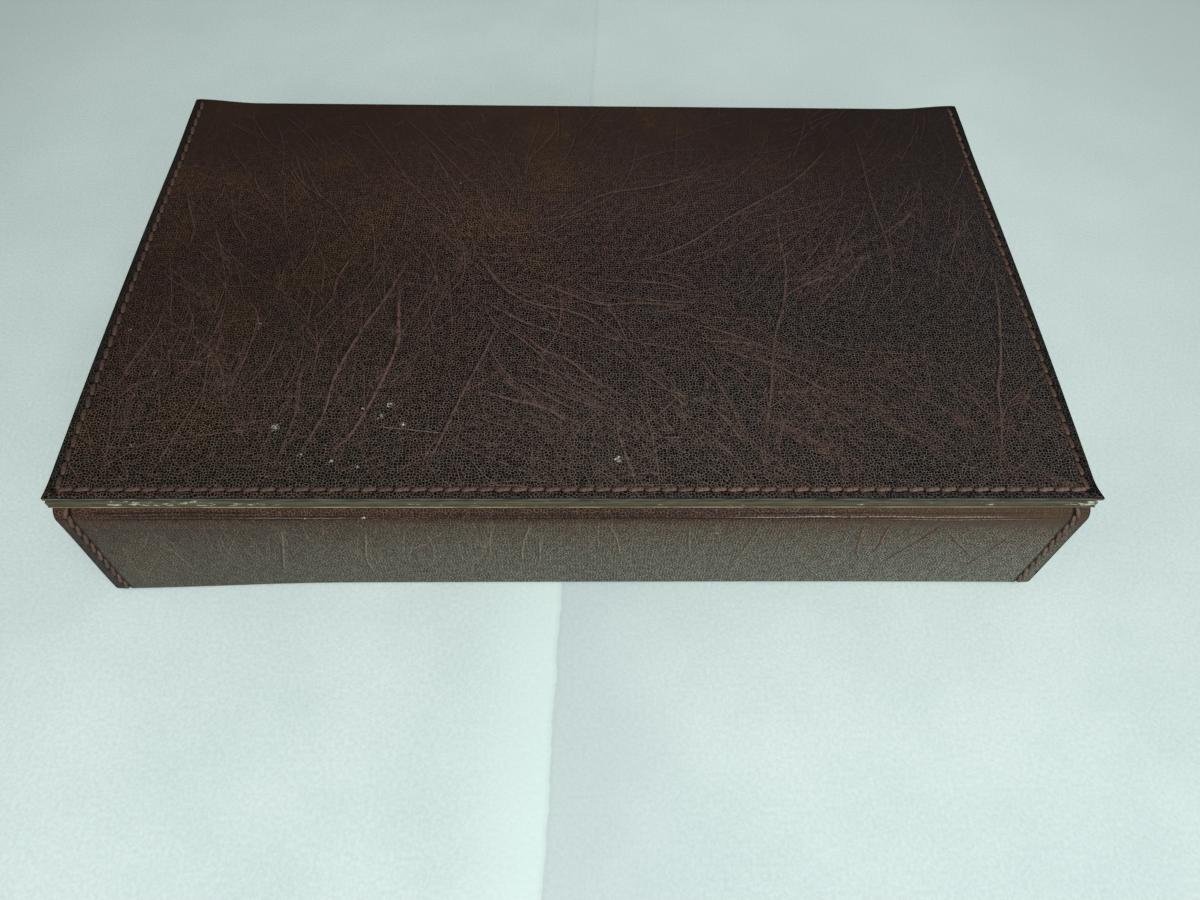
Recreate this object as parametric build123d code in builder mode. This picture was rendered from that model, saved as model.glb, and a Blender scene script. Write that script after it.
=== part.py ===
from build123d import *
from math import cos, pi, radians, sin
import os

# Leather box for letters and papers, in millimetres.
# X runs from side to side, Y from the front wall to the hinge, and Z up from the table.
# The origin is on the table, under the middle of the box.
#
# One hide makes the front wall, the base and the back. A second stretch of it runs on over the hinge and
# covers the lid. The two ends are closed by tray-shaped panels, whose flanges turn outwards and are sewn to
# the hide's margins. Boards stiffen every wall between the hide and the lining.

# ---------------------------------------------------------------- driving dimensions
WIDTH = 320.0  # side to side, body and lid alike
BODY_DEPTH = 196.4  # face of the front wall to face of the back
HEIGHT = 56.0  # table to the top of the closed lid
FRONT_STEP = 2.5  # how far the front wall stands in front of the lid's edge

HIDE = 1.8  # outer leather
BOARD = 3.0  # wall and base board
LINING = 1.0  # lining of the well
LID_BOARD = 2.2
LID_LINING = 0.9
HINGE_GAP = 0.3  # running clearance between the lid and the body

SHOULDER_RADIUS = 4.6  # outer edge of the rolled top of a wall
LIP_RADIUS = 1.6  # inner edge of the rolled top
FOLD_RADIUS = 3.0  # folds between the base and the walls
SPINE_RADIUS = 4.0  # the hide's roll over the lid's back edge
TURN_IN = 12.8  # how far the hide turns down inside a wall
END_RECESS = 5.8  # how far the end walls stand inside the hide's ends
LINING_TURN = 0.8  # rounding of the back lining's folded top
BEND_OUTER = 1.0  # rounding where an end panel turns into its flange

STITCH_PITCH = 5.08  # five stitches to the inch
STITCH_LENGTH = 4.3
STITCH_WIDTH = 0.9
STITCH_TIP = 0.8  # length of a stitch's tapered end, where it dives into its hole
STITCH_SLANT = 12.0  # degrees that each stitch leans across its row
STITCH_RISE = 0.3  # how far the thread stands out of the leather
STITCH_SINK = 0.05  # how far the thread under the base stays inside its groove
GROOVE_WIDTH = 1.9
GROOVE_DEPTH = 0.4
CUTTER_RISE = 1.0  # how far a groove's cutter stands outside the leather
LID_MARGIN = 3.0  # stitch row to the lid's edge
SEAM_MARGIN = 4.0  # stitch row to the hide's end
SEAM_START = 2.0  # hinge to the first stitch of a seam
BEND_MARGIN = 8.0  # degrees between a bend's ends and the stitch that goes round it
SHOULDER_SWEEP = 55.0  # degrees that the last stitch goes round the front shoulder

# ---------------------------------------------------------------- faces and levels
HALF_WIDTH = WIDTH / 2
FACE = BODY_DEPTH / 2  # the front wall's face is at -FACE, the back's at +FACE
LID_UNDERSIDE = HEIGHT - HIDE - LID_BOARD - LID_LINING
WALL_TOP = LID_UNDERSIDE - HINGE_GAP
HINGE_Y = FACE + HINGE_GAP
LID_FRONT = -FACE + FRONT_STEP

HIDE_INSIDE = FACE - HIDE
BOARD_INSIDE = HIDE_INSIDE - BOARD
LINING_INSIDE = BOARD_INSIDE - LINING
ROLL_INSIDE = BOARD_INSIDE - HIDE  # inner face of the front wall's turned-in hide

END_FACE = HALF_WIDTH - END_RECESS  # the same faces on an end wall
END_HIDE_INSIDE = END_FACE - HIDE
END_BOARD_INSIDE = END_HIDE_INSIDE - BOARD
END_LINING_INSIDE = END_BOARD_INSIDE - LINING
END_ROLL_INSIDE = END_BOARD_INSIDE - HIDE

FLOOR = HIDE + BOARD  # top of the base board
FLOOR_TOP = FLOOR + LINING
TURN_IN_END = WALL_TOP - TURN_IN
SHOULDER_START = WALL_TOP - SHOULDER_RADIUS
BOARD_TOP = WALL_TOP - HIDE

os.makedirs("parts", exist_ok=True)


def save(piece, name):
    """Labels a finished piece and writes it to its own file."""
    piece.label = name
    export_step(piece, f"parts/{name}.step")


def radius_at(radius, inset):
    """A bend's radius on a line that lies inset inside the hide's outer face; 0 is a sharp corner."""
    return max(radius - inset, 0)


def wrap_line(inset):
    """The body's section line, inset inside the hide's outer face: hinge, back, base, front wall, and over
    the shoulder to the inside of the front board."""
    return FilletPolyline(
        (FACE - inset, WALL_TOP),
        (FACE - inset, inset),
        (-FACE + inset, inset),
        (-FACE + inset, WALL_TOP - inset),
        (-BOARD_INSIDE, WALL_TOP - inset),
        radius=[radius_at(r, inset) for r in (FOLD_RADIUS, FOLD_RADIUS, SHOULDER_RADIUS)],
    )


def wrap_band(outer_inset, inner_inset):
    """The strip between two section lines, closed at both ends, to add to a sketch on a YZ plane."""
    with BuildSketch() as band:
        with BuildLine():
            outer = wrap_line(outer_inset)
            inner = wrap_line(inner_inset)
            Line(outer @ 0, inner @ 0)
            Line(outer @ 1, inner @ 1)
        make_face()
    return band.sketch


# ---------------------------------------------------------------- the body's hide
# The full-width wrap ends on top of the front wall. The rest of the roll, which turns down inside the wall,
# is a narrower tongue that fits between the two end walls.
with BuildPart() as body_cover:
    with BuildSketch(Plane.YZ):
        add(wrap_band(0, HIDE))
    extrude(amount=HALF_WIDTH, both=True)
    with BuildSketch(Plane.YZ):
        with BuildLine():
            tongue_outer = FilletPolyline(
                (-BOARD_INSIDE, WALL_TOP),
                (-ROLL_INSIDE, WALL_TOP),
                (-ROLL_INSIDE, TURN_IN_END),
                radius=[LIP_RADIUS],
            )
            Polyline(
                tongue_outer @ 1,
                (-BOARD_INSIDE, TURN_IN_END),
                (-BOARD_INSIDE, WALL_TOP),
            )
        make_face()
    extrude(amount=END_ROLL_INSIDE, both=True)
    for side in (-1, 1):
        with BuildSketch(Plane.YZ.offset(side * (HALF_WIDTH - SEAM_MARGIN))):
            add(wrap_band(-CUTTER_RISE, GROOVE_DEPTH))
        extrude(amount=GROOVE_WIDTH / 2, both=True, mode=Mode.SUBTRACT)
save(body_cover.part, "body_cover")

# ---------------------------------------------------------------- the end panels
# A tray: its plate is the end wall, its flange follows the inside of the wrap, and its top edge is rolled
# over the end board like the front shoulder.
with BuildPart() as left_side_cover:
    with BuildSketch(Plane.YZ.offset(-END_HIDE_INSIDE)):
        with BuildLine():
            rim = wrap_line(HIDE)
            Polyline(
                rim @ 1,
                (-BOARD_INSIDE, SHOULDER_START),
                (BOARD_INSIDE, SHOULDER_START),
                (BOARD_INSIDE, WALL_TOP),
                rim @ 0,
            )
        make_face()
    extrude(amount=-HIDE)
    plate_rim = left_side_cover.edges().filter_by_position(
        Axis.X, -END_HIDE_INSIDE, -END_HIDE_INSIDE
    )
    fillet(plate_rim.filter_by_position(Axis.Z, HIDE, HIDE + FOLD_RADIUS), radius=BEND_OUTER)
    with BuildSketch(Plane.YZ.offset(-END_FACE)):
        add(wrap_band(HIDE, 2 * HIDE))
    extrude(amount=-END_RECESS)
    with BuildSketch(Plane.XZ.offset(BOARD_INSIDE)):
        with BuildLine():
            roll_outer = FilletPolyline(
                (-END_FACE, TURN_IN_END),
                (-END_FACE, WALL_TOP),
                (-END_ROLL_INSIDE, WALL_TOP),
                (-END_ROLL_INSIDE, TURN_IN_END),
                radius=[SHOULDER_RADIUS, LIP_RADIUS],
            )
            roll_inner = FilletPolyline(
                (-END_HIDE_INSIDE, TURN_IN_END),
                (-END_HIDE_INSIDE, BOARD_TOP),
                (-END_BOARD_INSIDE, BOARD_TOP),
                (-END_BOARD_INSIDE, TURN_IN_END),
                radius=[radius_at(SHOULDER_RADIUS, HIDE), radius_at(LIP_RADIUS, HIDE)],
            )
            Line(roll_outer @ 0, roll_inner @ 0)
            Line(roll_outer @ 1, roll_inner @ 1)
        make_face()
    extrude(amount=-2 * BOARD_INSIDE)
save(left_side_cover.part, "left_side_cover")

with BuildPart() as right_side_cover:
    mirror(left_side_cover.part, about=Plane.YZ)
save(right_side_cover.part, "right_side_cover")

# ---------------------------------------------------------------- the boards
# The base board lies on the wrap, and the four wall boards stand on it. The top edges of the front and end
# boards are rounded under the rolled hide.
with BuildPart() as base_board:
    with BuildSketch(Plane.XY.offset(HIDE)):
        Rectangle(2 * END_HIDE_INSIDE, 2 * HIDE_INSIDE)
    extrude(amount=BOARD)
    fold_edges = base_board.faces().sort_by(Axis.Z)[0].edges().filter_by(Axis.X)
    fillet(fold_edges, radius=radius_at(FOLD_RADIUS, HIDE))
save(base_board.part, "base_board")

with BuildPart() as front_board:
    with BuildSketch(Plane.XZ.offset(BOARD_INSIDE)):
        with Locations((0, FLOOR)):
            Rectangle(2 * END_HIDE_INSIDE, BOARD_TOP - FLOOR, align=(Align.CENTER, Align.MIN))
    extrude(amount=BOARD)
    roll_edge = front_board.edges().filter_by(Axis.X).sort_by(Axis.Z)[-2:].sort_by(Axis.Y)[0]
    fillet(roll_edge, radius=radius_at(SHOULDER_RADIUS, HIDE))
save(front_board.part, "front_board")

with BuildPart() as back_board:
    with BuildSketch(Plane.XZ.offset(-HIDE_INSIDE)):
        with Locations((0, FLOOR)):
            Rectangle(
                2 * END_HIDE_INSIDE, WALL_TOP - LINING - FLOOR, align=(Align.CENTER, Align.MIN)
            )
    extrude(amount=BOARD)
save(back_board.part, "back_board")

with BuildPart() as left_side_board:
    with BuildSketch(Plane.YZ.offset(-END_HIDE_INSIDE)):
        with Locations((0, FLOOR)):
            Rectangle(2 * BOARD_INSIDE, BOARD_TOP - FLOOR, align=(Align.CENTER, Align.MIN))
    extrude(amount=BOARD)
    roll_edge = left_side_board.edges().filter_by(Axis.Y).sort_by(Axis.Z)[-2:].sort_by(Axis.X)[0]
    fillet(roll_edge, radius=radius_at(SHOULDER_RADIUS, HIDE))
save(left_side_board.part, "left_side_board")

with BuildPart() as right_side_board:
    mirror(left_side_board.part, about=Plane.YZ)
save(right_side_board.part, "right_side_board")

# ---------------------------------------------------------------- the lining of the well
with BuildPart() as floor_lining:
    with BuildSketch(Plane.XY.offset(FLOOR)):
        Rectangle(2 * END_BOARD_INSIDE, 2 * BOARD_INSIDE)
    extrude(amount=LINING)
save(floor_lining.part, "floor_lining")

with BuildPart() as front_lining:
    with BuildSketch(Plane.XY.offset(FLOOR_TOP)):
        with Locations((0, -BOARD_INSIDE)):
            Rectangle(2 * END_BOARD_INSIDE, LINING, align=(Align.CENTER, Align.MIN))
    extrude(amount=TURN_IN_END - FLOOR_TOP)
save(front_lining.part, "front_lining")

with BuildPart() as left_side_lining:
    with BuildSketch(Plane.XY.offset(FLOOR_TOP)):
        with Locations((-END_BOARD_INSIDE, -LINING_INSIDE)):
            Rectangle(LINING, LINING_INSIDE + BOARD_INSIDE, align=(Align.MIN, Align.MIN))
    extrude(amount=TURN_IN_END - FLOOR_TOP)
save(left_side_lining.part, "left_side_lining")

with BuildPart() as right_side_lining:
    mirror(left_side_lining.part, about=Plane.YZ)
save(right_side_lining.part, "right_side_lining")

# The back lining narrows between the ends' turned-in hide, and its top folds over the back board, so that
# the board's edge is covered when the lid stands open.
with BuildPart() as back_lining:
    with BuildSketch(Plane.XZ.offset(-BOARD_INSIDE)):
        with Locations((0, FLOOR_TOP)):
            Rectangle(
                2 * END_LINING_INSIDE, TURN_IN_END - FLOOR_TOP, align=(Align.CENTER, Align.MIN)
            )
        with Locations((0, TURN_IN_END)):
            Rectangle(2 * END_ROLL_INSIDE, TURN_IN, align=(Align.CENTER, Align.MIN))
    extrude(amount=LINING)
    with BuildSketch(Plane.XY.offset(WALL_TOP)):
        with Locations((0, BOARD_INSIDE)):
            Rectangle(2 * END_HIDE_INSIDE, BOARD, align=(Align.CENTER, Align.MIN))
    extrude(amount=-LINING)
    top_edges = back_lining.edges().filter_by(Axis.X).filter_by_position(Axis.Z, WALL_TOP, WALL_TOP)
    fillet(top_edges.sort_by(Axis.Y)[0], radius=LINING_TURN)
save(back_lining.part, "back_lining")

# ---------------------------------------------------------------- the lid
# The hide lies flat on the board, rolls over its back edge and comes down to the hinge line. On the other
# three sides hide, board and lining end in one cut edge, with the stitch rows in a pressed groove inside it.
LID_ROW_Y = LID_FRONT + LID_MARGIN
LID_ROW_X = HALF_WIDTH - LID_MARGIN
LID_ROW_END = HINGE_Y - SPINE_RADIUS
BOARD_EASE = 0.2  # room behind the board for the hide's roll

with BuildPart() as lid_cover:
    with BuildSketch(Plane.YZ):
        with BuildLine():
            lid_outer = FilletPolyline(
                (LID_FRONT, HEIGHT),
                (HINGE_Y, HEIGHT),
                (HINGE_Y, LID_UNDERSIDE),
                radius=[SPINE_RADIUS],
            )
            lid_inner = FilletPolyline(
                (LID_FRONT, HEIGHT - HIDE),
                (HINGE_Y - HIDE, HEIGHT - HIDE),
                (HINGE_Y - HIDE, LID_UNDERSIDE),
                radius=[radius_at(SPINE_RADIUS, HIDE)],
            )
            Line(lid_outer @ 0, lid_inner @ 0)
            Line(lid_outer @ 1, lid_inner @ 1)
        make_face()
    extrude(amount=HALF_WIDTH, both=True)
    with BuildSketch(Plane.XY.offset(HEIGHT)):
        with Locations((0, LID_ROW_Y)):
            Rectangle(2 * LID_ROW_X + GROOVE_WIDTH, GROOVE_WIDTH)
        with Locations((-LID_ROW_X, LID_ROW_Y), (LID_ROW_X, LID_ROW_Y)):
            Rectangle(GROOVE_WIDTH, LID_ROW_END - LID_ROW_Y, align=(Align.CENTER, Align.MIN))
    extrude(amount=-GROOVE_DEPTH, mode=Mode.SUBTRACT)
save(lid_cover.part, "lid_cover")

with BuildPart() as lid_board:
    with BuildSketch(Plane.XY.offset(LID_UNDERSIDE + LID_LINING)):
        with Locations((0, LID_FRONT)):
            Rectangle(
                WIDTH, HINGE_Y - HIDE - BOARD_EASE - LID_FRONT, align=(Align.CENTER, Align.MIN)
            )
    extrude(amount=LID_BOARD)
    roll_edge = lid_board.edges().filter_by(Axis.X).sort_by(Axis.Z)[-2:].sort_by(Axis.Y)[-1]
    fillet(roll_edge, radius=radius_at(SPINE_RADIUS, HIDE) - BOARD_EASE)
save(lid_board.part, "lid_board")

with BuildPart() as lid_lining:
    with BuildSketch(Plane.XY.offset(LID_UNDERSIDE)):
        with Locations((0, LID_FRONT)):
            Rectangle(WIDTH, HINGE_Y - HIDE - LID_FRONT, align=(Align.CENTER, Align.MIN))
    extrude(amount=LID_LINING)
save(lid_lining.part, "lid_lining")

# ---------------------------------------------------------------- the thread
# Each stitch is a slim lozenge that leans across its row and sits in the pressed groove.
STITCH_OUTLINE = (
    (-STITCH_LENGTH / 2, 0),
    (-STITCH_LENGTH / 2 + STITCH_TIP, -STITCH_WIDTH / 2),
    (STITCH_LENGTH / 2 - STITCH_TIP, -STITCH_WIDTH / 2),
    (STITCH_LENGTH / 2, 0),
    (STITCH_LENGTH / 2 - STITCH_TIP, STITCH_WIDTH / 2),
    (-STITCH_LENGTH / 2 + STITCH_TIP, STITCH_WIDTH / 2),
)


def stitch_centres(start, stop):
    """Evenly spaced stitch centres that fill a run at about the usual pitch."""
    count = round((stop - start) / STITCH_PITCH)
    pitch = (stop - start) / count
    return [start + (i + 0.5) * pitch for i in range(count)]


def sew(planes, rise=STITCH_RISE):
    """One stitch on each plane. A plane lies in the groove, with its x along the row and its z outwards."""
    with BuildPart() as row:
        with BuildSketch(*planes):
            Polygon(*STITCH_OUTLINE, rotation=STITCH_SLANT)
        extrude(amount=GROOVE_DEPTH + rise)
    return row.part


lid_groove = HEIGHT - GROOVE_DEPTH
front_row = [
    Plane(origin=(x, LID_ROW_Y, lid_groove), x_dir=(1, 0, 0), z_dir=(0, 0, 1))
    for x in stitch_centres(-LID_ROW_X, LID_ROW_X)
]
save(sew(front_row), "lid_front_stitches")
for name, x in (("lid_left_stitches", -LID_ROW_X), ("lid_right_stitches", LID_ROW_X)):
    side_row = [
        Plane(origin=(x, y, lid_groove), x_dir=(0, 1, 0), z_dir=(0, 0, 1))
        for y in stitch_centres(LID_ROW_Y, LID_ROW_END)
    ]
    save(sew(side_row), name)

# A body seam runs from the hinge down the back, under the base, up the front and round the shoulder. Each
# wall has its own run of straight stitches, and one bent stitch goes round each fold and the shoulder.
# Under the base and round the folds the thread stays inside its groove, so that the box rests on leather.
seam_line = wrap_line(GROOVE_DEPTH)
fold_length = pi / 2 * (FOLD_RADIUS - GROOVE_DEPTH)
back_stop = WALL_TOP - FOLD_RADIUS
base_start = back_stop + fold_length
base_stop = base_start + BODY_DEPTH - 2 * FOLD_RADIUS
front_start = base_stop + fold_length
front_stop = front_start + SHOULDER_START - FOLD_RADIUS
BACK, DOWN, FRONT = 0, 90, 180  # directions out of a bend's centre, turning about -X


def seam_planes(x, start, stop):
    """Stitch planes along a stretch of the seam line, in the plane at x."""
    planes = []
    for distance in stitch_centres(start, stop):
        point = seam_line.position_at(distance, PositionMode.LENGTH)
        along = seam_line.tangent_at(distance, PositionMode.LENGTH)
        tangent = Vector(0, along.X, along.Y)
        outward = Vector(1, 0, 0).cross(tangent)
        planes.append(Plane(origin=(x, point.X, point.Y), x_dir=tangent, z_dir=outward))
    return planes


def bent_stitch(centre, radius, first, sweep, rise):
    """A stitch round a bend of the hide: its section turned about the bend's axis, from the direction first."""
    radial = Vector(0, cos(radians(first)), -sin(radians(first)))
    with BuildPart() as stitch:
        with BuildSketch(Plane(centre, x_dir=(1, 0, 0), z_dir=Vector(1, 0, 0).cross(radial))):
            with Locations((0, radius - GROOVE_DEPTH)):
                Rectangle(STITCH_WIDTH, GROOVE_DEPTH + rise, align=(Align.CENTER, Align.MIN))
        revolve(axis=Axis(centre, (-1, 0, 0)), revolution_arc=sweep)
    return stitch.part


def seam_at(x):
    """The stitches of one seam: the runs up the back and the front, the run under the base, the two stitches
    round the folds and the one round the shoulder."""
    walls = seam_planes(x, SEAM_START, back_stop) + seam_planes(x, front_start, front_stop)
    pieces = [sew(walls), sew(seam_planes(x, base_start, base_stop), rise=-STITCH_SINK)]
    for y, first in ((FACE - FOLD_RADIUS, BACK), (-FACE + FOLD_RADIUS, DOWN)):
        fold_centre = (x, y, FOLD_RADIUS)
        sweep = 90 - 2 * BEND_MARGIN
        pieces.append(bent_stitch(fold_centre, FOLD_RADIUS, first + BEND_MARGIN, sweep, -STITCH_SINK))
    shoulder_centre = (x, -FACE + SHOULDER_RADIUS, SHOULDER_START)
    first = FRONT + BEND_MARGIN
    pieces.append(bent_stitch(shoulder_centre, SHOULDER_RADIUS, first, SHOULDER_SWEEP, STITCH_RISE))
    return pieces


for name, x in (
    ("left_seam_stitches", -HALF_WIDTH + SEAM_MARGIN),
    ("right_seam_stitches", HALF_WIDTH - SEAM_MARGIN),
):
    stitches = seam_at(x)
    with BuildPart() as seam:
        add(stitches)
    save(seam.part, name)
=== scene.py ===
import bpy
import numpy as np
from mathutils import Matrix, Vector


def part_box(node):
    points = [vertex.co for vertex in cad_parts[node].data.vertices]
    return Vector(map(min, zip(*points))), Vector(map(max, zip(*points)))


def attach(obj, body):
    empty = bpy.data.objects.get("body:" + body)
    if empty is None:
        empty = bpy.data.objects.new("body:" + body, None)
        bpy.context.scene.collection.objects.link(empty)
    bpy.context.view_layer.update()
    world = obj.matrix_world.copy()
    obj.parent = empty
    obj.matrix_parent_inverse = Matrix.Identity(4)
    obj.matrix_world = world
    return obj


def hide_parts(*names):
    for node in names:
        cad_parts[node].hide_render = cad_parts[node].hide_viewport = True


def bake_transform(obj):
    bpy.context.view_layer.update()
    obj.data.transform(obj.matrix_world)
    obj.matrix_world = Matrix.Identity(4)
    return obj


# The finish of a leather box for letters and papers. Lengths are in millimetres until a mesh is made.
# X runs from side to side, Y from the front wall to the hinge, and Z up from the table.
# Leather is worked out flat first, as x across the hide, s along it and a depth under its face, and is then
# laid along the box's section line. So a crease, a stitch and a groove are all placed on the flat hide.

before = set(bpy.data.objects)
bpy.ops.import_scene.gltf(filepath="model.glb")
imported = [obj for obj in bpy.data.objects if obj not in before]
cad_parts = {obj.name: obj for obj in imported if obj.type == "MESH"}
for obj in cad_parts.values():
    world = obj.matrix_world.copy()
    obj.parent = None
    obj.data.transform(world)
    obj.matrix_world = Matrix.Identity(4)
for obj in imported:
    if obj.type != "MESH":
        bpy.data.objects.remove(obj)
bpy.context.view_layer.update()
MM = 0.001


def corners_of(node):
    """A node's lowest and highest corners, in millimetres."""
    low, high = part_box(node)
    return np.array(low) / MM, np.array(high) / MM


# ---------------------------------------------------------------- sizes taken from the frame
LID_LOW, LID_HIGH = corners_of("lid_cover")
LID_BOARD_LOW, LID_BOARD_HIGH = corners_of("lid_board")
LID_LINING_LOW, LID_LINING_HIGH = corners_of("lid_lining")
WRAP_LOW, WRAP_HIGH = corners_of("body_cover")
FRONT_BOARD_HIGH = corners_of("front_board")[1]
FLOOR_LINING_HIGH = corners_of("floor_lining")[1]
HALF = LID_HIGH[0]
HIDE = LID_HIGH[2] - LID_BOARD_HIGH[2]
LID_DEPTH = LID_HIGH[1] - LID_LOW[1]
HINGE_Y, HINGE_Z = LID_HIGH[1], LID_LOW[2]
LID_ROW_S = np.mean(corners_of("lid_front_stitches"), 0)[1] - LID_LOW[1]
LID_ROW_X = HALF - LID_ROW_S
SEAM_X = np.mean(corners_of("right_seam_stitches"), 0)[0]
TURN_IN_END = corners_of("front_lining")[1][2]
TURN_IN_Y = FRONT_BOARD_HIGH[1] + HIDE
TONGUE_HALF = FLOOR_LINING_HIGH[0] - HIDE

# ---------------------------------------------------------------- sizes of bends, thread and edges
SPINE_RADIUS = 4.0
FOLD_RADIUS = 3.0
SHOULDER_RADIUS = 4.6
LIP_RADIUS = 1.6
JOIN_Y = 70.0  # where the lid's hide meets the body's hide, under the base
PITCH = 5.08  # from one stitch hole to the next
GROOVE_HALF = 0.95
GROOVE_DEPTH = 0.4
FINE_STEP = 0.34  # spacing of the mesh beside the cut edges
HIDE_STEP = 1.06  # and elsewhere on the hide
BEND_STEP = 0.7
BOARD_STEP = 2.0
EDGE_BAND = 6.5  # how wide the finer mesh is
ROW_REACH = 3.0  # a stitch row's marks reach this far to each side of it


# ---------------------------------------------------------------- section lines
class Section:
    """A line in the YZ plane through the given corners, each rounded by its radius, with the leather's face
    on its left. On a straight run a point moves on at a constant direction. On a bend it turns clockwise
    about the bend's centre, at the radius less its depth under the face."""

    def __init__(self, corners, radii):
        corners = np.asarray(corners, float)
        self.runs = []
        self.length = 0.0
        start = corners[0]
        for before, corner, after, radius in zip(corners, corners[1:], corners[2:], radii):
            ahead = (corner - before) / np.linalg.norm(corner - before)
            onward = (after - corner) / np.linalg.norm(after - corner)
            turn = np.arccos(np.clip(ahead @ onward, -1, 1))
            cut = radius * np.tan(turn / 2)
            self._append(start, ahead, np.linalg.norm(corner - ahead * cut - start), 0.0)
            self._append(corner - ahead * cut, ahead, radius * turn, radius)
            start = corner + onward * cut
        last = corners[-1] - start
        self._append(start, last / np.linalg.norm(last), np.linalg.norm(last), 0.0)

    def _append(self, start, ahead, length, radius):
        """Adds a bend of the given radius, or a straight run where that is 0."""
        self.runs.append((self.length, length, start, ahead, radius))
        self.length += length

    def place(self, s, depth):
        """The points at distance s along the line and the given depth under the face, as y and z."""
        s, depth = np.broadcast_arrays(np.asarray(s, float), depth)
        y, z = np.zeros(s.shape), np.zeros(s.shape)
        firsts = np.array([run[0] for run in self.runs])
        which = np.clip(np.searchsorted(firsts, s, side="right") - 1, 0, len(self.runs) - 1)
        for number, (first, _, start, ahead, radius) in enumerate(self.runs):
            on = which == number
            gone = s[on] - first
            if radius:
                angle = gone / radius
                across = np.array([-ahead[1], ahead[0]])
                centre = start - across * radius
                reach = np.maximum(radius - depth[on], 0)
                y[on] = centre[0] + reach * (across[0] * np.cos(angle) + ahead[0] * np.sin(angle))
                z[on] = centre[1] + reach * (across[1] * np.cos(angle) + ahead[1] * np.sin(angle))
            else:
                y[on] = start[0] + ahead[0] * gone + ahead[1] * depth[on]
                z[on] = start[1] + ahead[1] * gone - ahead[0] * depth[on]
        return y, z

    def starts(self):
        """The distances at which the runs and bends start, with the line's end last."""
        return [run[0] for run in self.runs] + [self.length]


lid_corners = [(LID_LOW[1], LID_HIGH[2]), (HINGE_Y, LID_HIGH[2]), (WRAP_HIGH[1], WRAP_LOW[2])]
lid_line = Section(lid_corners + [(JOIN_Y, WRAP_LOW[2])], [SPINE_RADIUS, FOLD_RADIUS])
body_corners = [(JOIN_Y, WRAP_LOW[2]), (WRAP_LOW[1], WRAP_LOW[2]), (WRAP_LOW[1], WRAP_HIGH[2])]
body_line = Section(
    body_corners + [(TURN_IN_Y, WRAP_HIGH[2]), (TURN_IN_Y, TURN_IN_END)],
    [FOLD_RADIUS, SHOULDER_RADIUS, LIP_RADIUS],
)
_, SPINE_START, BACK_START, BACK_FOLD, UNDER_BACK, LID_LINE_END = lid_line.starts()
_, FRONT_FOLD, FRONT_START, SHOULDER_START, TOP_START, LIP_START, TONGUE_START, _ = body_line.starts()
HINGE_S = BACK_START + (LID_HIGH[2] - SPINE_RADIUS - HINGE_Z)
TONGUE_TOP = TOP_START + FRONT_BOARD_HIGH[1] - (WRAP_LOW[1] + SHOULDER_RADIUS)
FRONT_SEAM_START, FRONT_SEAM_COUNT = FRONT_START - 1, 10
BACK_SEAM_START, BACK_SEAM_COUNT = HINGE_S + 2, 9

# ---------------------------------------------------------------- the set that the leather has taken
BACK_CORNER_LIFT = 1.3  # the lid's back corners have sprung up
BACK_CORNER_REACH = 26.0
SIDE_BOW = 1.1  # the lid's sides belly out between their corners
SIDE_DRAW = 0.7  # and its corners are drawn in
TIP_REACH = 7.0  # the lid hide's front corners stand out as small points beyond the board
TIP_OUT = {"left": 0.5, "right": 1.5}
FOOT_SPREAD = 0.5  # the front wall's foot has spread forwards at its ends
LEFT_FOOT = 1.6  # and most of all at the left
WALL_DRAW = 0.9  # and the body's ends are drawn in at the front


def ease(value, low, high):
    """A smooth step: 0 below low, 1 above high, and 3t^2 - 2t^3 between them."""
    t = np.clip((value - low) / (high - low), 0, 1)
    return t * t * (3 - 2 * t)


def spring_lid(points):
    """The lid's set. Its sides move out by a parabola along their length, less the draw at the corners, in
    step with the cube of x. Its back corners rise by a smooth step towards each of the two edges, and fade
    to nothing at the hinge."""
    x, y, z = points.T
    across = x / HALF
    along = np.clip((y - LID_LOW[1]) / LID_DEPTH, 0, 1)
    above = np.clip((z - HINGE_Z) / (LID_HIGH[2] - HINGE_Z), 0, 1)
    held = ease(above, 0, 0.3)
    out = across**3 * (SIDE_BOW * 4 * along * (1 - along) - SIDE_DRAW) * held
    corner = ease(np.abs(x), HALF - BACK_CORNER_REACH, HALF)
    corner = corner * ease(y, HINGE_Y - 1.6 * BACK_CORNER_REACH, HINGE_Y)
    lifted = BACK_CORNER_LIFT * corner * above
    return np.stack([x + out, y + 0.7 * lifted, z + lifted], 1)


def spring_hide(points):
    """The lid hide's set: the lid's own, and its two front corners drawn out to points, by the product of a
    falling line along each of the two edges."""
    x, y, z = spring_lid(points).T
    near_front = np.clip(1 - (y - LID_LOW[1]) / TIP_REACH, 0, 1) ** 2
    near_side = np.clip(1 - (HALF - np.abs(x)) / TIP_REACH, 0, 1)
    out = np.where(x < 0, -TIP_OUT["left"], TIP_OUT["right"]) * near_front * near_side
    return np.stack([x + out, y, z], 1)


def lean_wall(points):
    """The front wall's set. Its foot moves forwards in step with the cube of x, and by a smooth step more
    towards the left end, and less towards the top and along the base. Its ends move in by the draw, in step
    with the fifth power of x, and less towards the back."""
    x, y, z = points.T
    across = x / HALF
    front = 1 - ease(y, WRAP_LOW[1], WRAP_LOW[1] + 60)
    foot = (1 - ease(z, 0, WRAP_HIGH[2])) * front
    spread = FOOT_SPREAD * np.abs(across) ** 3 + LEFT_FOOT * ease(-across, 0.5, 1)
    return np.stack([x - WALL_DRAW * across**5 * front, y - spread * foot, z], 1)


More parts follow.
